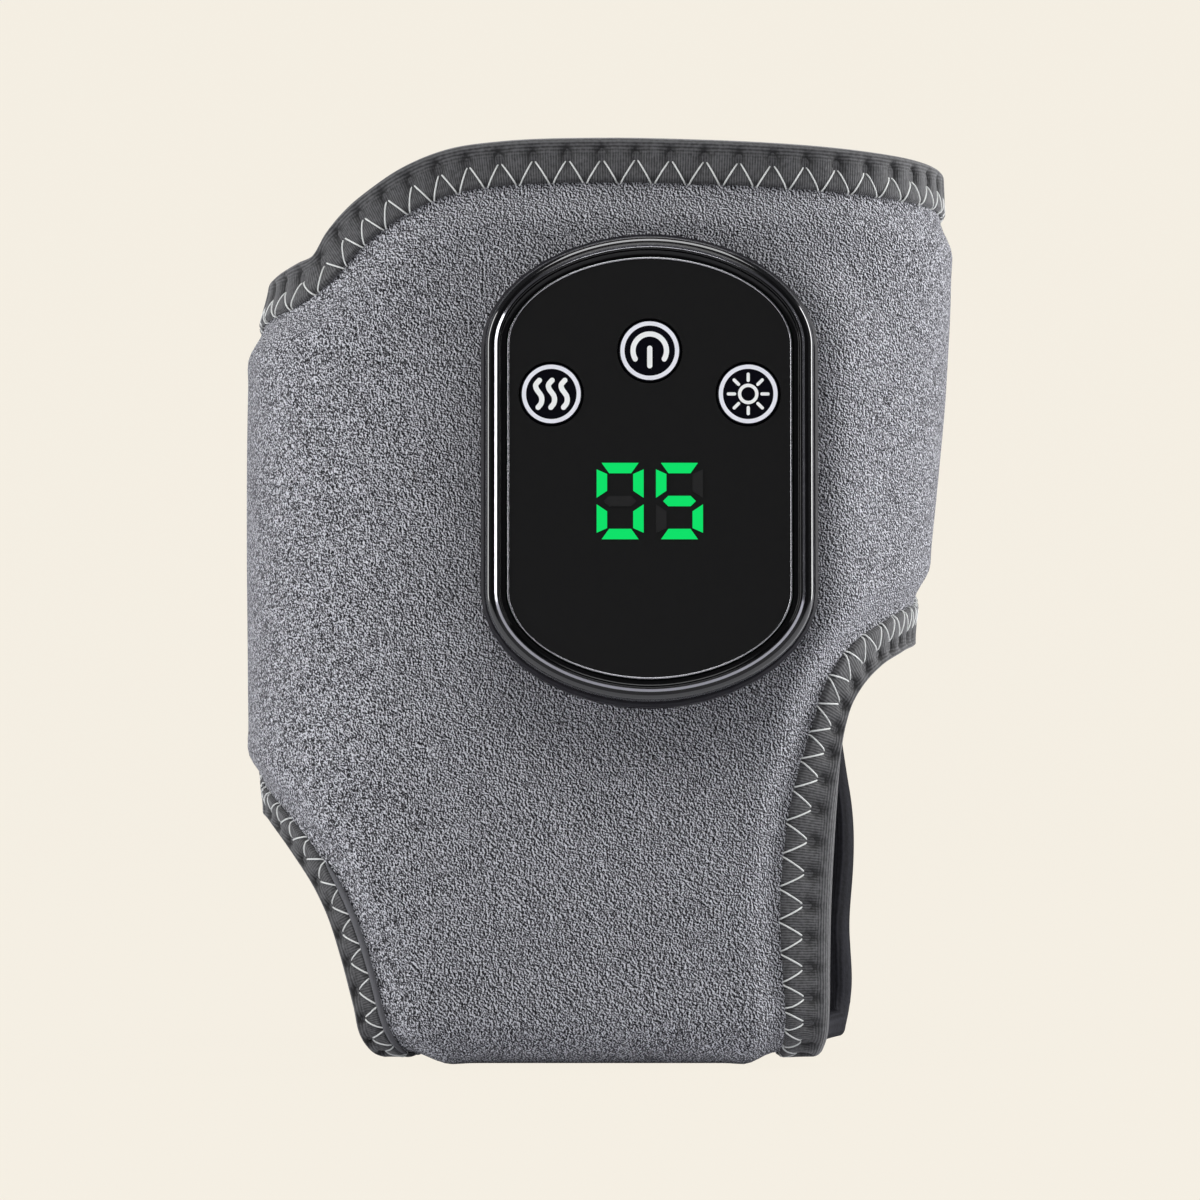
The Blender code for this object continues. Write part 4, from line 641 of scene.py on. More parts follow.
# Plain finishes: screen colour, roughness and its spread, grain scale and height, other sockets
plainFinishes = {
    "greyThread": ((214, 216, 214), 0.45, 0.1, 5200.0, 0.00012, {"Sheen_Weight": 0.2}),
    "darkThread": ((30, 30, 33), 0.6, 0.1, 5200.0, 0.00012, {}),
    "rollGrey": ((88, 88, 92), 0.8, 0.08, 1900.0, 0.0002, {"Sheen_Weight": 0.1}),
    "glossBlack": ((6, 6, 7), 0.14, 0.02, 300.0, 0.00001,
                   {"Specular_IOR_Level": 0.22, "Coat_Weight": 0.2, "Coat_Roughness": 0.04}),
    "rimGloss": ((8, 8, 10), 0.1, 0.02, 300.0, 0.00001, {"Coat_Weight": 1.0, "Coat_Roughness": 0.05}),
    "crestSilver": ((158, 158, 164), 0.14, 0.03, 900.0, 0.00001, {"Metallic": 1.0}),
    "lensBlack": ((24, 24, 24), 0.35, 0.02, 700.0, 0.00001, {"Specular_IOR_Level": 0.12}),
    "shellGrey": ((29, 28, 33), 0.5, 0.06, 2400.0, 0.00006, {"Specular_IOR_Level": 0.2}),
    "brightRing": ((170, 170, 174), 0.25, 0.04, 900.0, 0.00001, {"Metallic": 1.0}),
    "iconWhite": ((238, 240, 238), 0.5, 0.06, 2600.0, 0.00002, {}),
    "ringWhite": ((232, 233, 240), 0.4, 0.06, 2600.0, 0.00002, {}),
    "buttonBlack": ((4, 4, 12), 0.35, 0.04, 1600.0, 0.00002, {"Specular_IOR_Level": 0.1}),
    "litGreen": ((0, 40, 18), 0.6, 0.04, 1600.0, 0.00001,
                 {"Specular_IOR_Level": 0.1, "Emission_Color": (*fromScreen(1, 226, 104), 1.0),
                  "Emission_Strength": 0.96}),
    "unlitSegment": ((37, 37, 37), 0.35, 0.04, 1600.0, 0.00001, {"Specular_IOR_Level": 0.12}),
    "hookBlack": ((38, 38, 42), 0.6, 0.15, 1300.0, 0.0009, {}),
    "steel": ((170, 172, 176), 0.3, 0.08, 1500.0, 0.00003, {"Metallic": 1.0}),
    "rubber": ((28, 28, 30), 0.7, 0.1, 1800.0, 0.00008, {}),
    "boardGreen": ((20, 70, 42), 0.5, 0.12, 900.0, 0.00005, {}),
    "filmAmber": ((168, 108, 40), 0.35, 0.1, 800.0, 0.00006, {}),
    "cellSilver": ((150, 152, 156), 0.35, 0.1, 700.0, 0.00006, {"Metallic": 0.6}),
}


def plainFinish(name, colour, roughness, spread, scale, height, sockets):
    # With a fine grain, its roughness varies a little and its surface is very slightly uneven
    made = newFinish(name, fromScreen(*colour), roughness, **sockets)
    grain = noise(made, objectPlace(made), scale)
    linkTo(made, rangeNode(made, grain, 0.3, 0.7, roughness - spread, roughness + spread), "Roughness")
    bumpBy(made, grain, 0.4, height)
    return made


finishes = {name: plainFinish(name, *values) for name, values in plainFinishes.items()}
print("stage: finishes")


# Fabric wall, in metres
wall = {
    "cover": 0.0025,
    "lining": 0.0015,
    "cavity": 0.0033,
    "coverEdge": 0.0014,
    "liningEdge": 0.0013,
    "edgeGap": 0.0003,
    "rise": 0.009,  # from the tape's inner edge to the full thickness
    "roll": (0.0005, 0.0055, 0.0035),  # the cover's small roll past the tape: its height, place and width
    "panelCover": 0.0022,
    "panelClearance": 0.0016,
    "flapRamp": 0.035,
    "strapRamp": 0.031,
    "hingeBand": 0.0022,  # flat stitched band each side of a hinge line
    "bend": 0.0075,  # length each side of a panel's hinge; carry works out places at it but nothing is bent
}
edgeWall = wall["coverEdge"] + wall["edgeGap"] + wall["liningEdge"]
edgeSink = (wall["cover"] + wall["cavity"] + wall["lining"] - edgeWall) / 2

# Binding of each edge, in rows that start with the height q where they hold: tape width on each face, how far its
# fold stands past the cut edge, stitch pitch, inward place of a stitch's outer end, the share of the pitch at which
# the stitch reaches the tape's inner edge, and how deep the stitches pull the tape in
seamColumns = ("width", "nose", "pitch", "outerEnd", "turnShare", "pull")
seams = {
    "foot": (
        (-0.05, 0.0074, 0.0018, 0.0061, 0.003, 0.5, 0.15),
        (0.002, 0.0078, 0.0028, 0.0055, 0.0032, 0.5, 1.0),
        (0.03, 0.0104, 0.0032, 0.0061, 0.0044, 0.5, 1.0),
        (0.05, 0.0098, 0.003, 0.0061, 0.004, 0.5, 1.0),
        (0.063, 0.0074, 0.0011, 0.0046, 0.0022, 0.5, 0.8),
    ),
    "wing": ((0.0, 0.008, 0.0015, 0.0064, 0.003, 0.5, 0.3),),
    "collar": ((0.0, 0.0076, 0.0013, 0.0067, 0.0028, 0.5, 1.0),),
    "flap": ((0.0, 0.008, 0.0015, 0.0064, 0.003, 0.5, 1.0),),
    "heel": ((0.0, 0.0046, 0.0012, 0.0058, 0.0009, 0.66, 0.8),),
    "strap": ((0.0, 0.008, 0.0015, 0.0064, 0.003, 0.5, 0.15),),
}
tapeForm = {
    "thickness": 0.0009,
    "gap": 0.0002,
    "rowStep": 0.00045,
    "edgeEase": 0.02,  # the inner edge and the widths are smoothed over this length
    "wayEase": 0.004,  # and the edge's own direction over this one
    "thinFrom": 0.93,  # share of the width past which the tape thins to its inner edge
    "thinShare": 0.7,
    "pullFade": (-0.0003, 0.0007),  # reach over which the stitches' pull sets in
}
seamValues = np.zeros((len(loopLine), len(seamColumns)))
for index, name in enumerate(edgeNames):
    mine = edgeOwner == index
    heights, *columns = np.array(seams[name]).T
    seamValues[mine] = np.stack([np.interp(loopLine[mine, 1], heights, column) for column in columns], -1)
seamTable = rounded(seamValues, tapeForm["edgeEase"])
softLine = rounded(loopLine, tapeForm["wayEase"])
loopWay = unit(np.roll(softLine, -1, axis=0) - np.roll(softLine, 1, axis=0))
loopInward = np.stack([-loopWay[:, 1], loopWay[:, 0]], -1)
innerLine = rounded(loopLine + loopInward * seamTable[:, :1], tapeForm["edgeEase"])
stitchCount = np.concatenate([[0.0], np.cumsum(loopStep / seamTable[:, 2])])
stitchCount = stitchCount * round(stitchCount[-1]) / stitchCount[-1]


def hingeDistance(places, column, value, ends):
    # Distance to a straight hinge line at one value of p or q
    other = places[:, 1 - column]
    past = np.maximum(np.maximum(min(ends) - other, other - max(ends)), 0.0)
    return np.hypot(places[:, column] - value, past)


flapEnds = (flapForm["top"] * collarHeight, flapForm["foot"] * collarHeight)
strapEnds = (patternLines["heel"][-1, 0], patternLines["foot"][0, 0])


def fullness(places, rise):
    # 0 under the tape and along the hinges, 1 where the wall has its whole thickness
    signed, _, where = edgeDistance(places, loopLine[::2])
    past = np.abs(signed) - seamTable[2 * where, 0]
    hinge = np.minimum(hingeDistance(places, 0, flapHinge, flapEnds), hingeDistance(places, 1, tongueEnd, strapEnds))
    return eased(np.minimum(past, hinge - wall["hingeBand"]) / rise), past


def edgeInside(p, q):
    # Level of the innermost face at an edge. On flap and strap it climbs from the wrap's edge onto the far face.
    flapShare, strapShare = (flapHinge - p) / wall["flapRamp"], (tongueEnd - q) / wall["strapRamp"]
    return mixed(-edgeSink - edgeWall, wall["panelClearance"], eased(np.maximum(flapShare, strapShare)))


def fabricLevels(places, puff=None):
    # Offsets of the cover's outside and inside and the lining's outside and inside
    p, q = places.T
    isPanel = (p < flapHinge) | (q < tongueEnd)
    full, past = fullness(places, wall["rise"])
    coverThick = mixed(wall["coverEdge"], np.where(isPanel, wall["panelCover"], wall["cover"]), full)
    liningThick = mixed(wall["liningEdge"], np.where(isPanel, wall["liningEdge"], wall["lining"]), full)
    gap = mixed(wall["edgeGap"], np.where(isPanel, wall["edgeGap"], wall["cavity"]), full)
    panelIn = edgeInside(p, q)
    coverIn = np.where(isPanel, panelIn + liningThick + gap, -edgeSink * (1 - full) - coverThick)
    liningOut = np.where(isPanel, panelIn + liningThick, coverIn - gap)
    liningIn = np.where(isPanel, panelIn, liningOut - liningThick)
    height, middle, width = wall["roll"]
    extra = height * bell(past - middle, width) * full
    if puff is not None:
        extra = extra + puff(places) * full
    return coverIn + coverThick + extra, coverIn, liningOut, liningIn


def fabricLayer(name, fill, outer, inner, material):
    # Closed wall between two offsets of the form over one filled pattern, its rim kept sharp
    places, quads, triangles = fill
    p, q = places.T
    count = len(places)
    points = np.concatenate([lifted(p, q, outer), lifted(p, q, inner)])
    rim = rimOf(count, quads, triangles)
    side = np.stack([rim[:, 1], rim[:, 0], rim[:, 0] + count, rim[:, 1] + count], -1)
    faceSets = [quads, triangles, quads[:, ::-1] + count, triangles[:, ::-1] + count, side]
    return settle(putMesh(name, points, faceSets, material), sharpAngle=50.0)


def seamRows(start, end, step):
    # Rows along the loop from one run length to another: places on it and the seam's values there
    total = (end - start) % loopLength
    goal = start + np.linspace(0.0, total, round(total / step) + 1)
    at = goal % loopLength

    def pick(values):
        return np.stack([np.interp(at, loopRun, column) for column in np.concatenate([values, values[:1]]).T], -1)

    count = np.interp(at, loopRun, stitchCount) + np.floor(goal / loopLength) * stitchCount[-1]
    return {"run": goal, "line": pick(loopLine), "inner": pick(innerLine), "outward": -unit(pick(loopInward)),
            "count": count, **dict(zip(seamColumns, pick(seamTable).T))}


# Hollows of the tape round each stitch: depth, width along the seam, width across it and shift outwards
pucker = {
    "apex": (0.001, 0.0008, 0.0008, 0.0003),  # dent at a stitch's outer end
    "valley": (0.00085, 0.0015, 0.0021, 0.0004),  # broad hollow round it
    "crease": (0.00045, 0.0005, 0.003, 0.0),  # runs from it to the fold
    "inner": (0.0006, 0.0009, 0.0009, 0.0),  # dent where the thread goes into the fleece
    "groove": (0.0002, 0.0, 0.00091, 0.0),  # under the thread, all along it
    "variety": np.random.default_rng(11).uniform(0.75, 1.25, 4096),
}
threadForm = {
    "radius": 0.00017,
    "lift": 0.0001,  # of the thread's middle over the tape
    "step": 0.0061 / 24,
    "bow": 0.015,  # each stitch bows outwards by this share of its width
    "hidden": 0.05,  # share of the pitch that it runs under the fleece
    "past": 0.0002,  # the inner ends lie this far past the tape
    "drop": 0.8,  # share of the tape's thickness that they go down over its edge
    "dropFrom": 0.96,  # share of the way where that begins
    "sink": 0.0005,  # into its holes
    "hole": 0.00022,
}


def threadReach(count, turnShare):
    # Share of the way from a stitch's outer end, 0, to its inner end, 1, at a count of stitches, and whether it
    # runs hidden under the fleece there
    phase, gap = count % 1.0, threadForm["hidden"]
    share = np.where(phase < turnShare, phase / (turnShare - gap), (1 - phase) / (1 - turnShare - gap))
    reach = np.clip(share, 0.0, 1.0)
    return reach - threadForm["bow"] * np.sin(math.pi * reach), share > 1


def hollow(kind, along, across):
    depth, length, width, shift = pucker[kind]
    return depth * (bell(along, length) if length else 1.0) * bell(across + shift, width)


def puckers(rows, reach):
    # Sum of the hollows at these inward reaches, a row of them for each place along the seam
    count, pitch, outerEnd, width, turnShare, pull = [
        rows[key][:, None] for key in ("count", "pitch", "outerEnd", "width", "turnShare", "pull")
    ]
    factor = pucker["variety"][np.round(count).astype(int) % len(pucker["variety"])]
    off = (count - np.round(count)) * pitch
    offInner = (count - turnShare - np.round(count - turnShare)) * pitch
    fromEnd = reach - outerEnd
    dent = hollow("apex", off, fromEnd) + hollow("valley", off, fromEnd) * factor
    dent = dent + hollow("crease", off, fromEnd) * factor * (fromEnd < 0) + hollow("inner", offInner, reach - width)
    share, _ = threadReach(count, turnShare)
    return (dent + hollow("groove", 0.0, reach - mixed(outerEnd, width, share))) * pull


def tapeLevel(place, thick, side):
    # Level of the tape's outer or inner leg over the squeezed fabric, at this thickness
    inside = edgeInside(place[..., 0], place[..., 1])
    return inside + edgeWall + thick if side > 0 else inside - thick


def seamPlace(rows, reach):
    # Places at an inward reach from the cut edge, towards the smoothed inner edge; negative is past the cut edge
    width = rows["width"][:, None]
    toInner = (rows["inner"] - rows["line"])[:, None]
    inward = rows["line"][:, None] + toInner * np.clip(reach / width, 0.0, None)[..., None]
    return inward + rows["outward"][:, None] * np.clip(-reach, 0.0, None)[..., None], inward


legShares = np.concatenate([[1.0, 0.985, 0.96, 0.92], np.linspace(0.87, 0.0, 16)])
noseTurn = np.linspace(0.0, math.pi, 13)[1:-1]


def carriedTape(name, start, end, material):
    # A U of tape carried along the loop: outer skin over one face, half an ellipse round the cut edge and back
    # on the other face, then the same path at the fabric's surface as the inner skin
    rows = seamRows(start, end, tapeForm["rowStep"])
    width, nose = rows["width"][:, None], rows["nose"][:, None]
    full, gap = tapeForm["thickness"], tapeForm["gap"]
    thinFrom, (pullFrom, pullTo) = tapeForm["thinFrom"], tapeForm["pullFade"]
    skins = []
    for isOuter, shares, turn in ((True, legShares, noseTurn), (False, legShares[::5], noseTurn[::3])):
        leg = shares[None] * width
        fold = -(nose - (0 if isOuter else full)) * np.sin(turn)[None]
        reach = np.concatenate([leg, fold, leg[:, ::-1]], 1)
        level = np.concatenate([np.ones(len(shares)), np.cos(turn), -np.ones(len(shares))])[None]
        place, base = seamPlace(rows, reach)
        thin = tapeForm["thinShare"] * eased((reach / width - thinFrom) / (1 - thinFrom))
        thick = gap + full * (1 - thin) * isOuter
        top, bottom = tapeLevel(base, thick, 1), tapeLevel(base, thick, -1)
        pulled = puckers(rows, reach) * eased((reach - pullFrom) / (pullTo - pullFrom)) * isOuter
        offset = (top + bottom) / 2 + ((top - bottom) / 2 - pulled) * level
        skins.append((lifted(place[..., 0], place[..., 1], offset), reach, pulled / pucker["apex"][0]))
    points, reach, dents = [np.concatenate([outer, inner[:, ::-1]], 1) for outer, inner in zip(*skins)]
    rowCount, columns = points.shape[:2]
    faceSets = [gridFaces(rowCount, columns), *endFaces(rowCount, columns)]
    piece = settle(putMesh(name, points.reshape(-1, 3), faceSets, material), sharpAngle=60.0)
    # depth of the stitches' dents, which the tape's finish darkens as painted shade
    depth = piece.data.attributes.new("dent", "FLOAT", "POINT")
    depth.data.foreach_set("value", np.clip(dents, 0.0, 1.0).ravel())
    layer = piece.data.uv_layers.new(name="flat")
    loops = np.zeros(len(piece.data.loops), int)
    piece.data.loops.foreach_get("vertex_index", loops)
    run = np.broadcast_to(rows["run"][:, None], reach.shape)
    layer.data.foreach_set("uv", np.stack([run, reach], -1).reshape(-1, 2)[loops].ravel())
    return piece


def tube(p, q, level, radii, sides=6):
    # Round section carried along a path over the form
    points = lifted(p, q, level)
    ahead = unit(np.gradient(points, axis=0))
    beside = unit(np.cross(ahead, unit(lifted(p, q, level + 0.0005) - points)))
    turn = np.linspace(0.0, 2 * math.pi, sides + 1)[:-1, None]
    across = np.cos(turn) * beside[:, None] + np.sin(turn) * np.cross(beside, ahead)[:, None]
    ring = points[:, None] + np.reshape(radii, (-1, 1, 1)) * across
    return ring.reshape(-1, 3), [gridFaces(len(points), sides), *endFaces(len(points), sides)]


def stitchedThread(name, start, end, material):
    # Zigzag thread on both faces, one run for each, following the tape's own surface
    form = threadForm
    rows = seamRows(start, end, form["step"])
    share, hidden = threadReach(rows["count"], rows["turnShare"])
    reach = mixed(rows["outerEnd"], rows["width"] + form["past"], share)[:, None]
    off = (rows["count"] - np.round(rows["count"])) * rows["pitch"]
    place, base = seamPlace(rows, reach)
    overEdge = tapeForm["thickness"] * form["drop"] * eased((share - form["dropFrom"]) / (1 - form["dropFrom"]))
    sink = form["sink"] * (bell(off, form["hole"]) + hidden) + overEdge + puckers(rows, reach)[:, 0]
    pointSets, faceSets, total = [], [], 0
    for side in (1, -1):
        level = tapeLevel(base, tapeForm["thickness"] + tapeForm["gap"], side)[:, 0] + side * (form["lift"] - sink)
        points, faces = tube(*place[:, 0].T, level, form["radius"])
        pointSets.append(points)
        faceSets += [face + total for face in faces]
        total += len(points)
    return settle(putMesh(name, np.concatenate(pointSets), faceSets, material))


# Wrap, flap and strap. The flap's and the strap's pieces begin a little before their hinges.
outlines = {
    "wrap": closedPart(loopPart(footSplit, collarSplit), loopPart(heelTopSplit, heelFootSplit)),
    "leg_flap": closedPart(loopPart(collarSplit, heelTopSplit)),
    "foot_strap": closedPart(loopPart(heelFootSplit, footSplit)),
}
edgeStart = dict(zip(edgeNames, loopRun[np.concatenate([[0], np.cumsum(edgeCounts)])]))

settling = {
    "grid": 0.0048,
    "frames": 20,
    "freeRise": 0.006,  # from the tape's inner edge to where the cloth is free
    "soleRise": 0.015,  # and from the bend under the foot, as the sole stays level
    "cap": 0.0016,
    "panelCap": 0.0005,  # on the far wing, which flap and strap lie on
    "splitFade": 0.012,  # none where the flap's and the strap's pieces begin
    "cloth": {"use_pressure": True, "uniform_pressure_force": 4.0, "quality": 6, "tension_stiffness": 18.0,
              "compression_stiffness": 9.0, "bending_stiffness": 2.0, "air_damping": 3.0},
}


def clothPuff():
    # The cover's outside as an open coarse sheet, pinned along tape, hinges and pod and blown up a little. Gives
    # how far each place moved outwards.
    step = settling["grid"]
    places, quads, triangles = filledOutline(outlines["wrap"], step)
    outer, *_ = fabricLevels(places)
    start = lifted(*places.T, outer)
    sheet = putMesh("coverSheet", start, [quads, triangles], fleece)
    x, y, z = start.T
    free = fullness(places, settling["freeRise"])[0] * (1 - podPatch(x, z) * (y < 0))
    free = free * eased((z - soleBend) / settling["soleRise"])
    group = sheet.vertex_groups.new(name="pin")
    for level in range(11):
        picked = np.flatnonzero(np.round((1 - free) * 10).astype(int) == level)
        group.add(picked.tolist(), level / 10, "REPLACE")
    cloth = sheet.modifiers.new("cloth", "CLOTH")
    cloth.settings.vertex_group_mass = "pin"
    cloth.settings.effector_weights.gravity = 0.0
    for key, value in settling["cloth"].items():
        setattr(cloth.settings, key, value)
    cloth.point_cache.frame_start, cloth.point_cache.frame_end = 1, settling["frames"]
    for index in range(1, settling["frames"] + 1):
        bpy.context.scene.frame_set(index)
    moved = np.zeros(3 * len(places), np.float32)
    sheet.evaluated_get(bpy.context.evaluated_depsgraph_get()).data.vertices.foreach_get("co", moved)
    bpy.context.scene.frame_set(1)
    outward = unit(lifted(*places.T, outer + 0.0005) - start)
    rise = ((moved.reshape(-1, 3) - start) * outward).sum(1)
    bpy.data.objects.remove(sheet)
    print("stage: cloth moved the cover", np.round(1000 * np.percentile(rise, (0, 5, 50, 95, 100)), 2), "mm")
    rise = settling["cap"] * np.tanh(np.nan_to_num(rise) / settling["cap"])
    low = places.min(0)
    cell = np.round((places - low) / step).astype(int)
    table = np.zeros(cell.max(0) + 3)
    table[cell[:, 0], cell[:, 1]] = rise

    def puff(at):
        # Bilinear in the grid
        spot = np.clip((at - low) / step, 0.0, np.array(table.shape) - 2.001)
        i, j = spot.astype(int).T
        u, v = (spot - np.stack([i, j], -1)).T
        value = mixed(mixed(table[i, j], table[i + 1, j], u), mixed(table[i, j + 1], table[i + 1, j + 1], u), v)
        value = np.where(at[:, 0] > foldPlace, np.minimum(value, settling["panelCap"]), value)
        return value * eased((at - [flapSplit, strapSplit]) / settling["splitFade"]).prod(1)

    return puff


coverPuff = clothPuff()


def carry(piece, body):
    # The wrap's pieces ride on it. A panel's piece only has its placement baked into its mesh; the places about its
    # hinge are worked out but not used.
    if body == "wrap":
        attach(piece, body)
        return
    places = np.array([[0.0, tongueEnd]] * 2)
    if body == "leg_flap":
        places[:] = flapHinge, (flapForm["top"] + flapForm["foot"]) / 2 * collarHeight
    places[:, 0 if body == "leg_flap" else 1] += [wall["bend"], -wall["bend"]]
    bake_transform(piece)


for body, outline in outlines.items():
    fill = filledOutline(outline, gridForm["gridStep"])
    coverOut, coverIn, liningOut, liningIn = fabricLevels(fill[0], coverPuff if body == "wrap" else None)
    word = {"wrap": "wrap", "leg_flap": "legFlap", "foot_strap": "footStrap"}[body]
    top = fabricLayer(word + "Cover", fill, coverOut, coverIn, fleece)
    bottom = fabricLayer(word + "Lining", fill, liningOut, liningIn, lining)
    for piece, layer in ((top, "_cover"), (bottom, "_lining")):
        carry(piece, body)
        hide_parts(body + layer)
print("stage: cover and lining")


farSoleTop = 0.05  # height above the floor


def darkenFarSole(piece, material):
    # The far end of the foot opening's binding, under the sole, is dark like the strap's
    piece.data.materials.append(material)
    centres = np.zeros(3 * len(piece.data.polygons))
    piece.data.polygons.foreach_get("center", centres)
    x, y, z = centres.reshape(-1, 3).T
    piece.data.polygons.foreach_set("material_index", ((y > 0.0) & (z < farSoleTop)).astype(int))


# Bindings in turn round the loop, and the run lengths between them
greyTape, darkTape = (greyBinding, finishes["greyThread"]), (darkBinding, finishes["darkThread"])
bindings = (
    ("footOpening", "foot_opening_binding", "wrap", greyTape),
    ("wingEnd", "wing_end_binding", "wrap", darkTape),
    ("collar", "collar_binding", "wrap", greyTape),
    ("legFlap", "leg_flap_binding", "leg_flap", greyTape),
    ("heelOpening", "heel_opening_binding", "wrap", greyTape),
    ("footStrap", "foot_strap_binding", "foot_strap", darkTape),
)
seamEnds = (loopRun[footSplit], edgeStart["wing"], edgeStart["collar"], loopRun[collarSplit], loopRun[heelTopSplit],
            loopRun[heelFootSplit], loopRun[footSplit] + loopLength)
for (name, node, body, (tapeFinish, threadFinish)), start, end in zip(bindings, seamEnds, seamEnds[1:]):
    tape = carriedTape(name + "Binding", start, end, tapeFinish)
    seam = stitchedThread(name + "Thread", start, end, threadFinish)
    for piece in (tape, seam):
        carry(piece, body)
    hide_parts(node)
    if name == "footOpening":
        darkenFarSole(tape, darkBinding)
        darkenFarSole(seam, finishes["darkThread"])
print("stage: bindings")

heelFold = {
    "from": 0.039,  # height at which the rolled fold beside the heel's tape starts
    "to": -0.004,
    "radius": 0.0006,
    "past": 0.8,  # radii between its middle and the tape's inner edge
    "lift": 0.0005,
    "step": 0.0008,
    "taper": 0.008,  # its ends thin over this length
    "thinnest": 0.003,  # squared share of the radius that is left at the very ends
    "sides": 12,
}


def heelRoll():
    # Rolled fold of cloth along the heel tape's inner edge: a tube that thins towards both ends
    rows = seamRows(loopRun[heelTopSplit], loopRun[heelFootSplit], heelFold["step"])
    q = rows["inner"][:, 1]
    keep = (q < heelFold["from"]) & (q > heelFold["to"])
    rows = {key: value[keep] for key, value in rows.items()}
    run = rows["run"] - rows["run"][0]
    near = np.minimum(run, run[-1] - run) / heelFold["taper"]
    thin = np.sqrt(np.clip(1 - (1 - np.clip(near, 0.0, 1.0)) ** 2, heelFold["thinnest"], 1.0))
    place, _ = seamPlace(rows, (rows["width"] + heelFold["radius"] * heelFold["past"])[:, None])
    p, q = place[:, 0].T
    level = edgeInside(p, q) + edgeWall + heelFold["lift"]
    points, faces = tube(p, q, level, heelFold["radius"] * thin, heelFold["sides"])
    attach(settle(putMesh("heelFoldRoll", points, faces, finishes["rollGrey"])), "wrap")


heelRoll()


# Pod

def podPoints(places):
    # Pod coordinates (x right, y up the face, z out of it) to the frame's
    places = np.asarray(places, float)
    return podOrigin + places[..., :1] * [1.0, 0.0, 0.0] + places[..., 1:2] * podUp + places[..., 2:3] * podOut


def smoothCopy(node, name, material, body="wrap"):
    # A rigid CAD node's own shape with its doubles merged, shaded smooth between sharp edges
    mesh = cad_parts[node].data.copy()
    mesh.name = name
    mesh.materials.clear()
    mesh.materials.append(material)
    mesh.polygons.foreach_set("use_smooth", np.ones(len(mesh.polygons), bool))
    mesh.polygons.foreach_set("material_index", np.zeros(len(mesh.polygons), int))
    piece = bpy.data.objects.new(name, mesh)
    bpy.context.scene.collection.objects.link(piece)
    settle(piece, sharpAngle=32.0, merge=2e-6)
    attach(piece, body)
    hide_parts(node)
    return piece


# Sections as (outwards from the lens's outline, height over the wrap), once round from the inside at the back
podFrame = {
    "section": ((0.0012, 0.012), (0.0003, 0.0132), (0.0001, 0.0142), (0.0002, 0.01435), (0.001, 0.01435),
                (0.00125, 0.01452), (0.00138, 0.0149), (0.00146, 0.01504), (0.00156, 0.01508), (0.0017, 0.01508),
                (0.00184, 0.01503), (0.00192, 0.01498), (0.00232, 0.01467), (0.0024, 0.01463), (0.003, 0.01457),
                (0.0034, 0.01445), (0.0037, 0.0142), (0.00388, 0.01385), (0.004, 0.0134), (0.0041, 0.0128),
                (0.0041, 0.0097), (0.0037, 0.0093), (0.0025, 0.0093), (0.0025, 0.0118)),
    "crest": (10, 12),  # section steps that are silvered
    "rim": (14, 18),  # and those with the deeper gloss of the outer edge
    "ring": ((-0.00046, 0.01465), (-0.00044, 0.01476), (-0.00036, 0.01482), (-0.0002, 0.01482), (-0.00012, 0.01476),
             (-0.0001, 0.01465)),
    "columns": 96,  # points round each quarter
}


def podLoft(name, section, material, angle):
    # Section carried round a superellipse-capped outline that grows with the section's outward place
    quarter = np.linspace(0.0, math.pi / 2, podFrame["columns"])
    out, up = np.cos(quarter) ** (2 / podForm["power"]), np.sin(quarter) ** (2 / podForm["power"])
    grow, height = np.array(section).T
    rows = []
    for sx, sy, way in ((1, 1, 1), (-1, 1, -1), (-1, -1, 1), (1, -1, -1)):
        o, u = out[::way], up[::way]
        wide = (podForm["halfWidth"] + grow)[:, None] * o[None]
        tall = podForm["straight"] / 2 + (podForm["capRise"] + grow)[:, None] * u[None]
        rows.append(np.stack([sx * wide, sy * tall, np.broadcast_to(height[:, None], wide.shape)], -1))
    # the first point of each quarter after a cap repeats the last of the quarter before it
    ring = np.concatenate([rows[0], rows[1][:, 1:], rows[2], rows[3][:, 1:]], 1)
    count = ring.shape[1]
    piece = putMesh(name, podPoints(ring).reshape(-1, 3), [gridFaces(len(section), count, ringed=True)], material)
    return settle(piece, sharpAngle=angle)


smoothCopy("pod_base", "podBase", finishes["shellGrey"])
frameLoft = podLoft("podFrame", podFrame["section"], finishes["glossBlack"], 50.0)
frameLoft.data.materials.append(finishes["crestSilver"])
frameLoft.data.materials.append(finishes["rimGloss"])
sectionStep = np.arange(len(frameLoft.data.polygons)) // (len(frameLoft.data.polygons) // len(podFrame["section"]))
finishIndex = np.zeros(len(sectionStep), int)
for value, (first, last) in ((1, podFrame["crest"]), (2, podFrame["rim"])):
    finishIndex[(sectionStep >= first) & (sectionStep < last)] = value
frameLoft.data.polygons.foreach_set("material_index", finishIndex)
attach(frameLoft, "wrap")
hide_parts("pod_front_case")
smoothCopy("front_lens", "podLens", finishes["lensBlack"])
lensRing = podLoft("lensRing", podFrame["ring"], finishes["brightRing"], 70.0)
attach(lensRing, "wrap")
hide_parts("lens_trim_ring")
for word in ("power", "heat", "light"):
    smoothCopy(word + "_button", word + "Button", finishes["buttonBlack"], word + "_button")

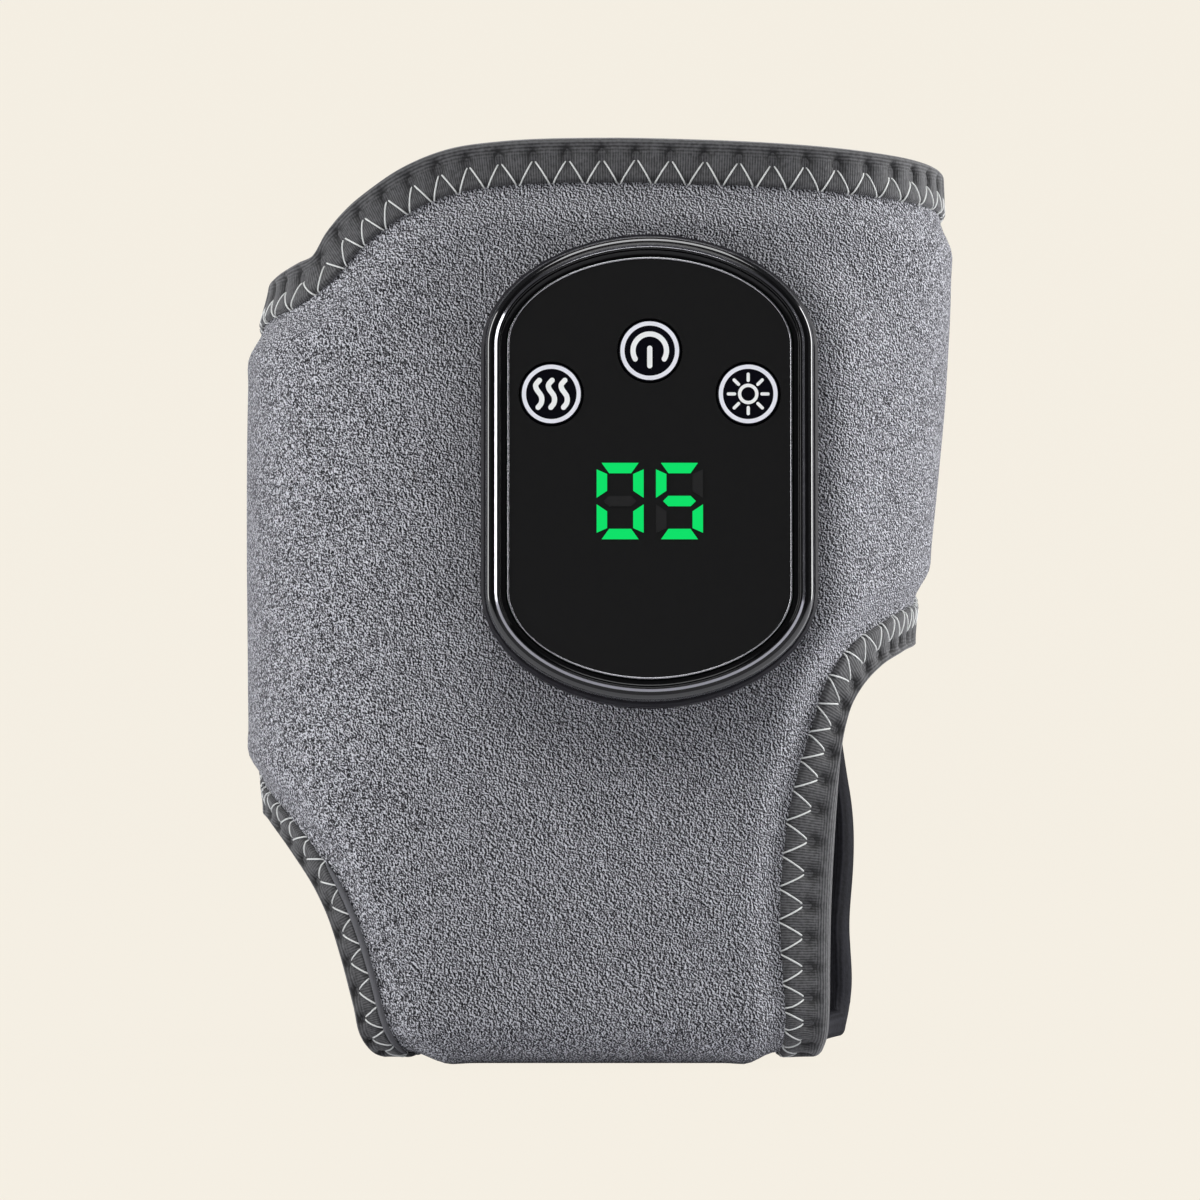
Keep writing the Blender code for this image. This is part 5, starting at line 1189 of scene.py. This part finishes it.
marks = {
    "lensFront": 0.0147,
    "buttonTop": 0.0148,
    "power": (0.0, 0.0224),
    "heat": (-0.0188, 0.0141),
    "light": (0.0188, 0.0141),
    "thickness": 0.00005,
    "ringRadius": 0.00562,
    "ringStroke": 0.0008,
    "stroke": 0.001,
    "waveSpacing": 0.00243,
    "wave": ((0.00052, 0.00295), (-0.00012, 0.00232), (-0.00055, 0.0017), (-0.0004, 0.00095), (0.00005, 0.0003),
             (0.0005, -0.0004), (0.00062, -0.0011), (0.00048, -0.0018), (0.00005, -0.0024), (-0.0004, -0.00295)),
    "sunRadius": 0.00196,
    "sunStroke": 0.00064,
    "rays": (0.0023, 0.0041),
    "rayStroke": 0.00062,
    "powerArc": (0.0032, -39.0, 219.0),  # radius and the degrees that it spans
    "powerBar": (0.00096, -0.0034),
    "lift": 0.00001,  # of printed marks over what they lie on
}


def stroke(path, width, closed=False):
    # A flat ribbon of this width along a path, its free ends rounded, as the points and faces of a thin plate
    path = np.asarray(path, float)
    half = np.full(len(path), width / 2)
    if closed:
        way = unit(np.roll(path, -1, axis=0) - np.roll(path, 1, axis=0))
    else:
        run = np.concatenate([[0.0], np.cumsum(np.linalg.norm(np.diff(path, axis=0), axis=1))])
        cap = width / 2 * (1 - np.cos(np.linspace(0, math.pi / 2, 7)))
        goal = np.concatenate([cap, np.linspace(width / 2, run[-1] - width / 2, 41)[1:-1], (run[-1] - cap)[::-1]])
        path = np.stack([np.interp(goal, run, path[:, k]) for k in (0, 1)], -1)
        way = unit(np.gradient(path, axis=0))
        near = np.clip(np.minimum(goal, run[-1] - goal) / (width / 2), 0.0, 1.0)
        half = width / 2 * np.sqrt(np.maximum(1 - (1 - near) ** 2, 1e-4))
    side = np.stack([-way[:, 1], way[:, 0]], -1) * half[:, None]
    edges = np.stack([path + side, path - side, path - side, path + side], 1)
    height = np.broadcast_to(np.array([0.0, 0.0, 1.0, 1.0])[None, :, None] * marks["thickness"], (len(path), 4, 1))
    ring = np.concatenate([edges, height], -1)
    ends = [] if closed else endFaces(len(path), 4)
    return ring.reshape(-1, 3), [gridFaces(len(path), 4, ringed=closed), *ends]


def arcPath(radius, start, end, count=65):
    turn = np.radians(np.linspace(start, end, count))
    return radius * np.stack([np.cos(turn), np.sin(turn)], -1)


def circle(radius, width, count=96):
    # A closed stroke whose outer edge has this radius
    return stroke(arcPath(radius - width / 2, 0, 360, count + 1)[:-1], width, True)


def platePiece(name, plates, place, height, material, body):
    # Joins thin plates into one printed piece at a place on the pod
    points, faces, count = [], [], 0
    for plate, quads in plates:
        points.append(plate + [place[0], place[1], height])
        faces += [np.asarray(face) + count for face in quads]
        count += len(plate)
    piece = settle(putMesh(name, podPoints(np.concatenate(points)), faces, material, smooth=False))
    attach(piece, body)
    return piece


def powerPlates():
    bar = [[0.0, y] for y in marks["powerBar"]]
    return [stroke(path, marks["stroke"]) for path in (arcPath(*marks["powerArc"]), bar)]


def heatPlates():
    wave = curveThrough(np.array(marks["wave"]), 0.0001)
    return [stroke(wave + [k * marks["waveSpacing"], 0.0], marks["stroke"]) for k in (-1, 0, 1)]


def lightPlates():
    near, far = marks["rays"]
    ways = [np.array([math.cos(turn), math.sin(turn)]) for turn in np.radians(np.arange(0, 360, 45))]
    rays = [stroke(np.array([way * near, way * far]), marks["rayStroke"]) for way in ways]
    return [circle(marks["sunRadius"], marks["sunStroke"]), *rays]


for word, plates in (("power", powerPlates()), ("heat", heatPlates()), ("light", lightPlates())):
    ring = [circle(marks["ringRadius"], marks["ringStroke"])]
    for kind, shapes, finish in (("Icon", plates, "iconWhite"), ("Ring", ring, "ringWhite")):
        platePiece(word + kind, shapes, marks[word], marks["buttonTop"] + marks["lift"], finishes[finish],
                   word + "_button")

digits = {
    "width": 0.00897,
    "height": 0.01462,
    "pitch": 0.01132,
    "stroke": 0.002,
    "gap": 0.00024,
    "inset": 0.00095,  # of an outer bar's long side from the digit's corner
    "centre": (0.0, -0.0064),
    "lit": ("abcdef", "acdfg"),
}


def barPlate(corners):
    corners = np.array(corners)
    if np.sum(corners[:, 0] * np.roll(corners[:, 1], -1) - corners[:, 1] * np.roll(corners[:, 0], -1)) < 0:
        corners = corners[::-1]
    count = len(corners)
    low, high = np.c_[corners, np.zeros(count)], np.c_[corners, np.full(count, marks["thickness"])]
    return np.concatenate([low, high]), [*endFaces(2, count), gridFaces(2, count)]


def digitPlates(column):
    # Each bar a polygon with mitred ends in a box half wide and half tall about the digit's middle
    wide, tall, thick = digits["width"] / 2, digits["height"] / 2, digits["stroke"]
    gap, inset = digits["gap"], digits["inset"]
    top = np.array([(-wide + inset, tall), (wide - inset, tall), (wide - thick - 1.6 * gap, tall - thick),
                    (-wide + thick + 1.6 * gap, tall - thick)])
    reach = wide - inset
    middle = np.array([(-reach + 0.2 * thick, 0), (-reach + 0.7 * thick, thick / 2), (reach - 0.7 * thick, thick / 2),
                       (reach - 0.2 * thick, 0), (reach - 0.7 * thick, -thick / 2), (-reach + 0.7 * thick, -thick / 2)])
    side = np.array([(wide, tall - 0.62 * thick), (wide - thick, tall - thick - 0.6 * gap),
                     (wide - thick, 0.98 * thick), (wide, gap * 2.6)])
    x = (column - 0.5) * digits["pitch"]
    shapes = {"a": top, "d": top * [1, -1], "g": middle, "b": side, "f": side * [-1, 1], "c": side * [1, -1],
              "e": side * [-1, -1]}
    return {letter: barPlate(shape + [x, 0.0]) for letter, shape in shapes.items()}


lit, unlit = [], []
for column, letters in enumerate(digits["lit"]):
    for letter, plate in digitPlates(column).items():
        (lit if letter in letters else unlit).append(plate)
for name, bars, lifts, finish in (("litSegments", lit, 2, "litGreen"), ("unlitSegments", unlit, 1, "unlitSegment")):
    platePiece(name, bars, digits["centre"], marks["lensFront"] + lifts * marks["lift"], finishes[finish], "wrap")
print("stage: pod")

# Finishes of the CAD nodes that stay
staying = {
    "filmAmber": ("near_heating_film", "far_heating_film"),
    "rubber": ("temperature_sensor", "lead_grommet", "heater_lead"),
    "hookBlack": ("leg_flap_hook_pad", "foot_strap_hook_pad"),
    "boardGreen": ("circuit_board",),
    "shellGrey": ("display_module", "backing_plate"),
    "steel": ("power_switch", "heat_switch", "light_switch", "charging_socket", "pod_screw_1", "pod_screw_2",
              "pod_screw_3", "pod_screw_4"),
    "cellSilver": ("battery_cell",),
}
for node, material in (("heater_link_ribbon", lining),
                       *[(node, finishes[name]) for name, nodes in staying.items() for node in nodes]):
    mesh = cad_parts[node].data
    mesh.materials.clear()
    mesh.materials.append(material)


# Floor, light and camera
studio = {
    "paper": fromScreen(245, 239, 227),
    "bounce": fromScreen(228, 228, 232),
    "cameraHeight": 0.0901,
    "cameraDistance": 1.2,
    "lens": 180.0,
    "room": 0.14,
    "glow": 0.985,  # share of the paper that the camera sees as its flat colour
    "sweepStart": -9.0,
    "sweepTurn": 1.0,  # where the floor starts to turn up
    "sweepRadius": 0.8,
    "sweepTop": 3.2,
    "sweepHalfWidth": 9.0,
    "sweepDrop": 0.0008,  # of the paper under the sole
}


def paperFinish():
    # The backdrop's colour as written to the camera, with a little of the floor's own shade for the shadow
    made = bpy.data.materials.new("paper")
    made.use_nodes = True
    made.node_tree.nodes.clear()
    plain = addNode(made, "BsdfDiffuse", Color=(*studio["bounce"], 1.0)).outputs["BSDF"]
    glow = addNode(made, "Emission", Color=(*studio["paper"], 1.0)).outputs["Emission"]
    share = mathNode(made, "MULTIPLY", addNode(made, "LightPath").outputs["Is Camera Ray"], studio["glow"])
    mix = addNode(made, "MixShader", {0: share, 1: plain, 2: glow})
    addNode(made, "OutputMaterial", {"Surface": mix.outputs["Shader"]})
    return made


def sweepBackdrop():
    # Level floor that turns up in a quarter circle behind the object
    turn = np.linspace(0, math.pi / 2, 17)
    first, radius, half = studio["sweepTurn"], studio["sweepRadius"], studio["sweepHalfWidth"]
    curve = np.stack([first + radius * np.sin(turn), radius * (1 - np.cos(turn))], -1)
    profile = np.concatenate([[[studio["sweepStart"], 0.0]], curve, [[first + radius, studio["sweepTop"]]]])
    profile = profile - [0.0, studio["sweepDrop"]]
    points = np.stack([np.concatenate([np.full((len(profile), 1), x), profile], 1) for x in (-half, half)], 1)
    piece = putMesh("paperSweep", points.reshape(-1, 3), [gridFaces(len(profile), 2, closed=False)], paperFinish())


def softBox(name, place, aim, size, power):
    light = bpy.data.lights.new(name, "AREA")
    light.shape = "RECTANGLE"
    light.size, light.size_y = size
    light.energy = power
    lamp = bpy.data.objects.new(name, light)
    lamp.location = place
    lamp.rotation_euler = (Vector(aim) - Vector(place)).to_track_quat("-Z", "Y").to_euler()
    bpy.context.scene.collection.objects.link(lamp)


sweepBackdrop()
for lamp in (
    ("frontLight", (0.0, -0.95, 1.35), (0, 0, 0.09), (1.0, 0.8), 13.0),
    ("leftLight", (-1.1, -0.28, 0.3), (0, 0, 0.1), (0.5, 1.0), 11.0),
    ("rightLight", (1.1, 0.06, 0.34), (0, 0, 0.1), (0.5, 1.0), 17.0),
    ("backLight", (0.0, 1.0, 1.1), (0, 0, 0.09), (1.0, 0.8), 6.0),
):
    softBox(*lamp)

world = bpy.data.worlds.new("room")
world.use_nodes = True
world.node_tree.nodes["Background"].inputs["Color"].default_value = (*studio["bounce"], 1.0)
world.node_tree.nodes["Background"].inputs["Strength"].default_value = studio["room"]
bpy.context.scene.world = world

cameraData = bpy.data.cameras.new("camera")
cameraData.lens = studio["lens"]
cameraData.sensor_width = 36.0
camera = bpy.data.objects.new("camera", cameraData)
camera.location = (0.0, -studio["cameraDistance"], studio["cameraHeight"])
camera.rotation_euler = (math.pi / 2, 0.0, 0.0)
bpy.context.scene.collection.objects.link(camera)
bpy.context.scene.camera = camera
bpy.context.scene.view_settings.view_transform = "Standard"
print("stage: studio")
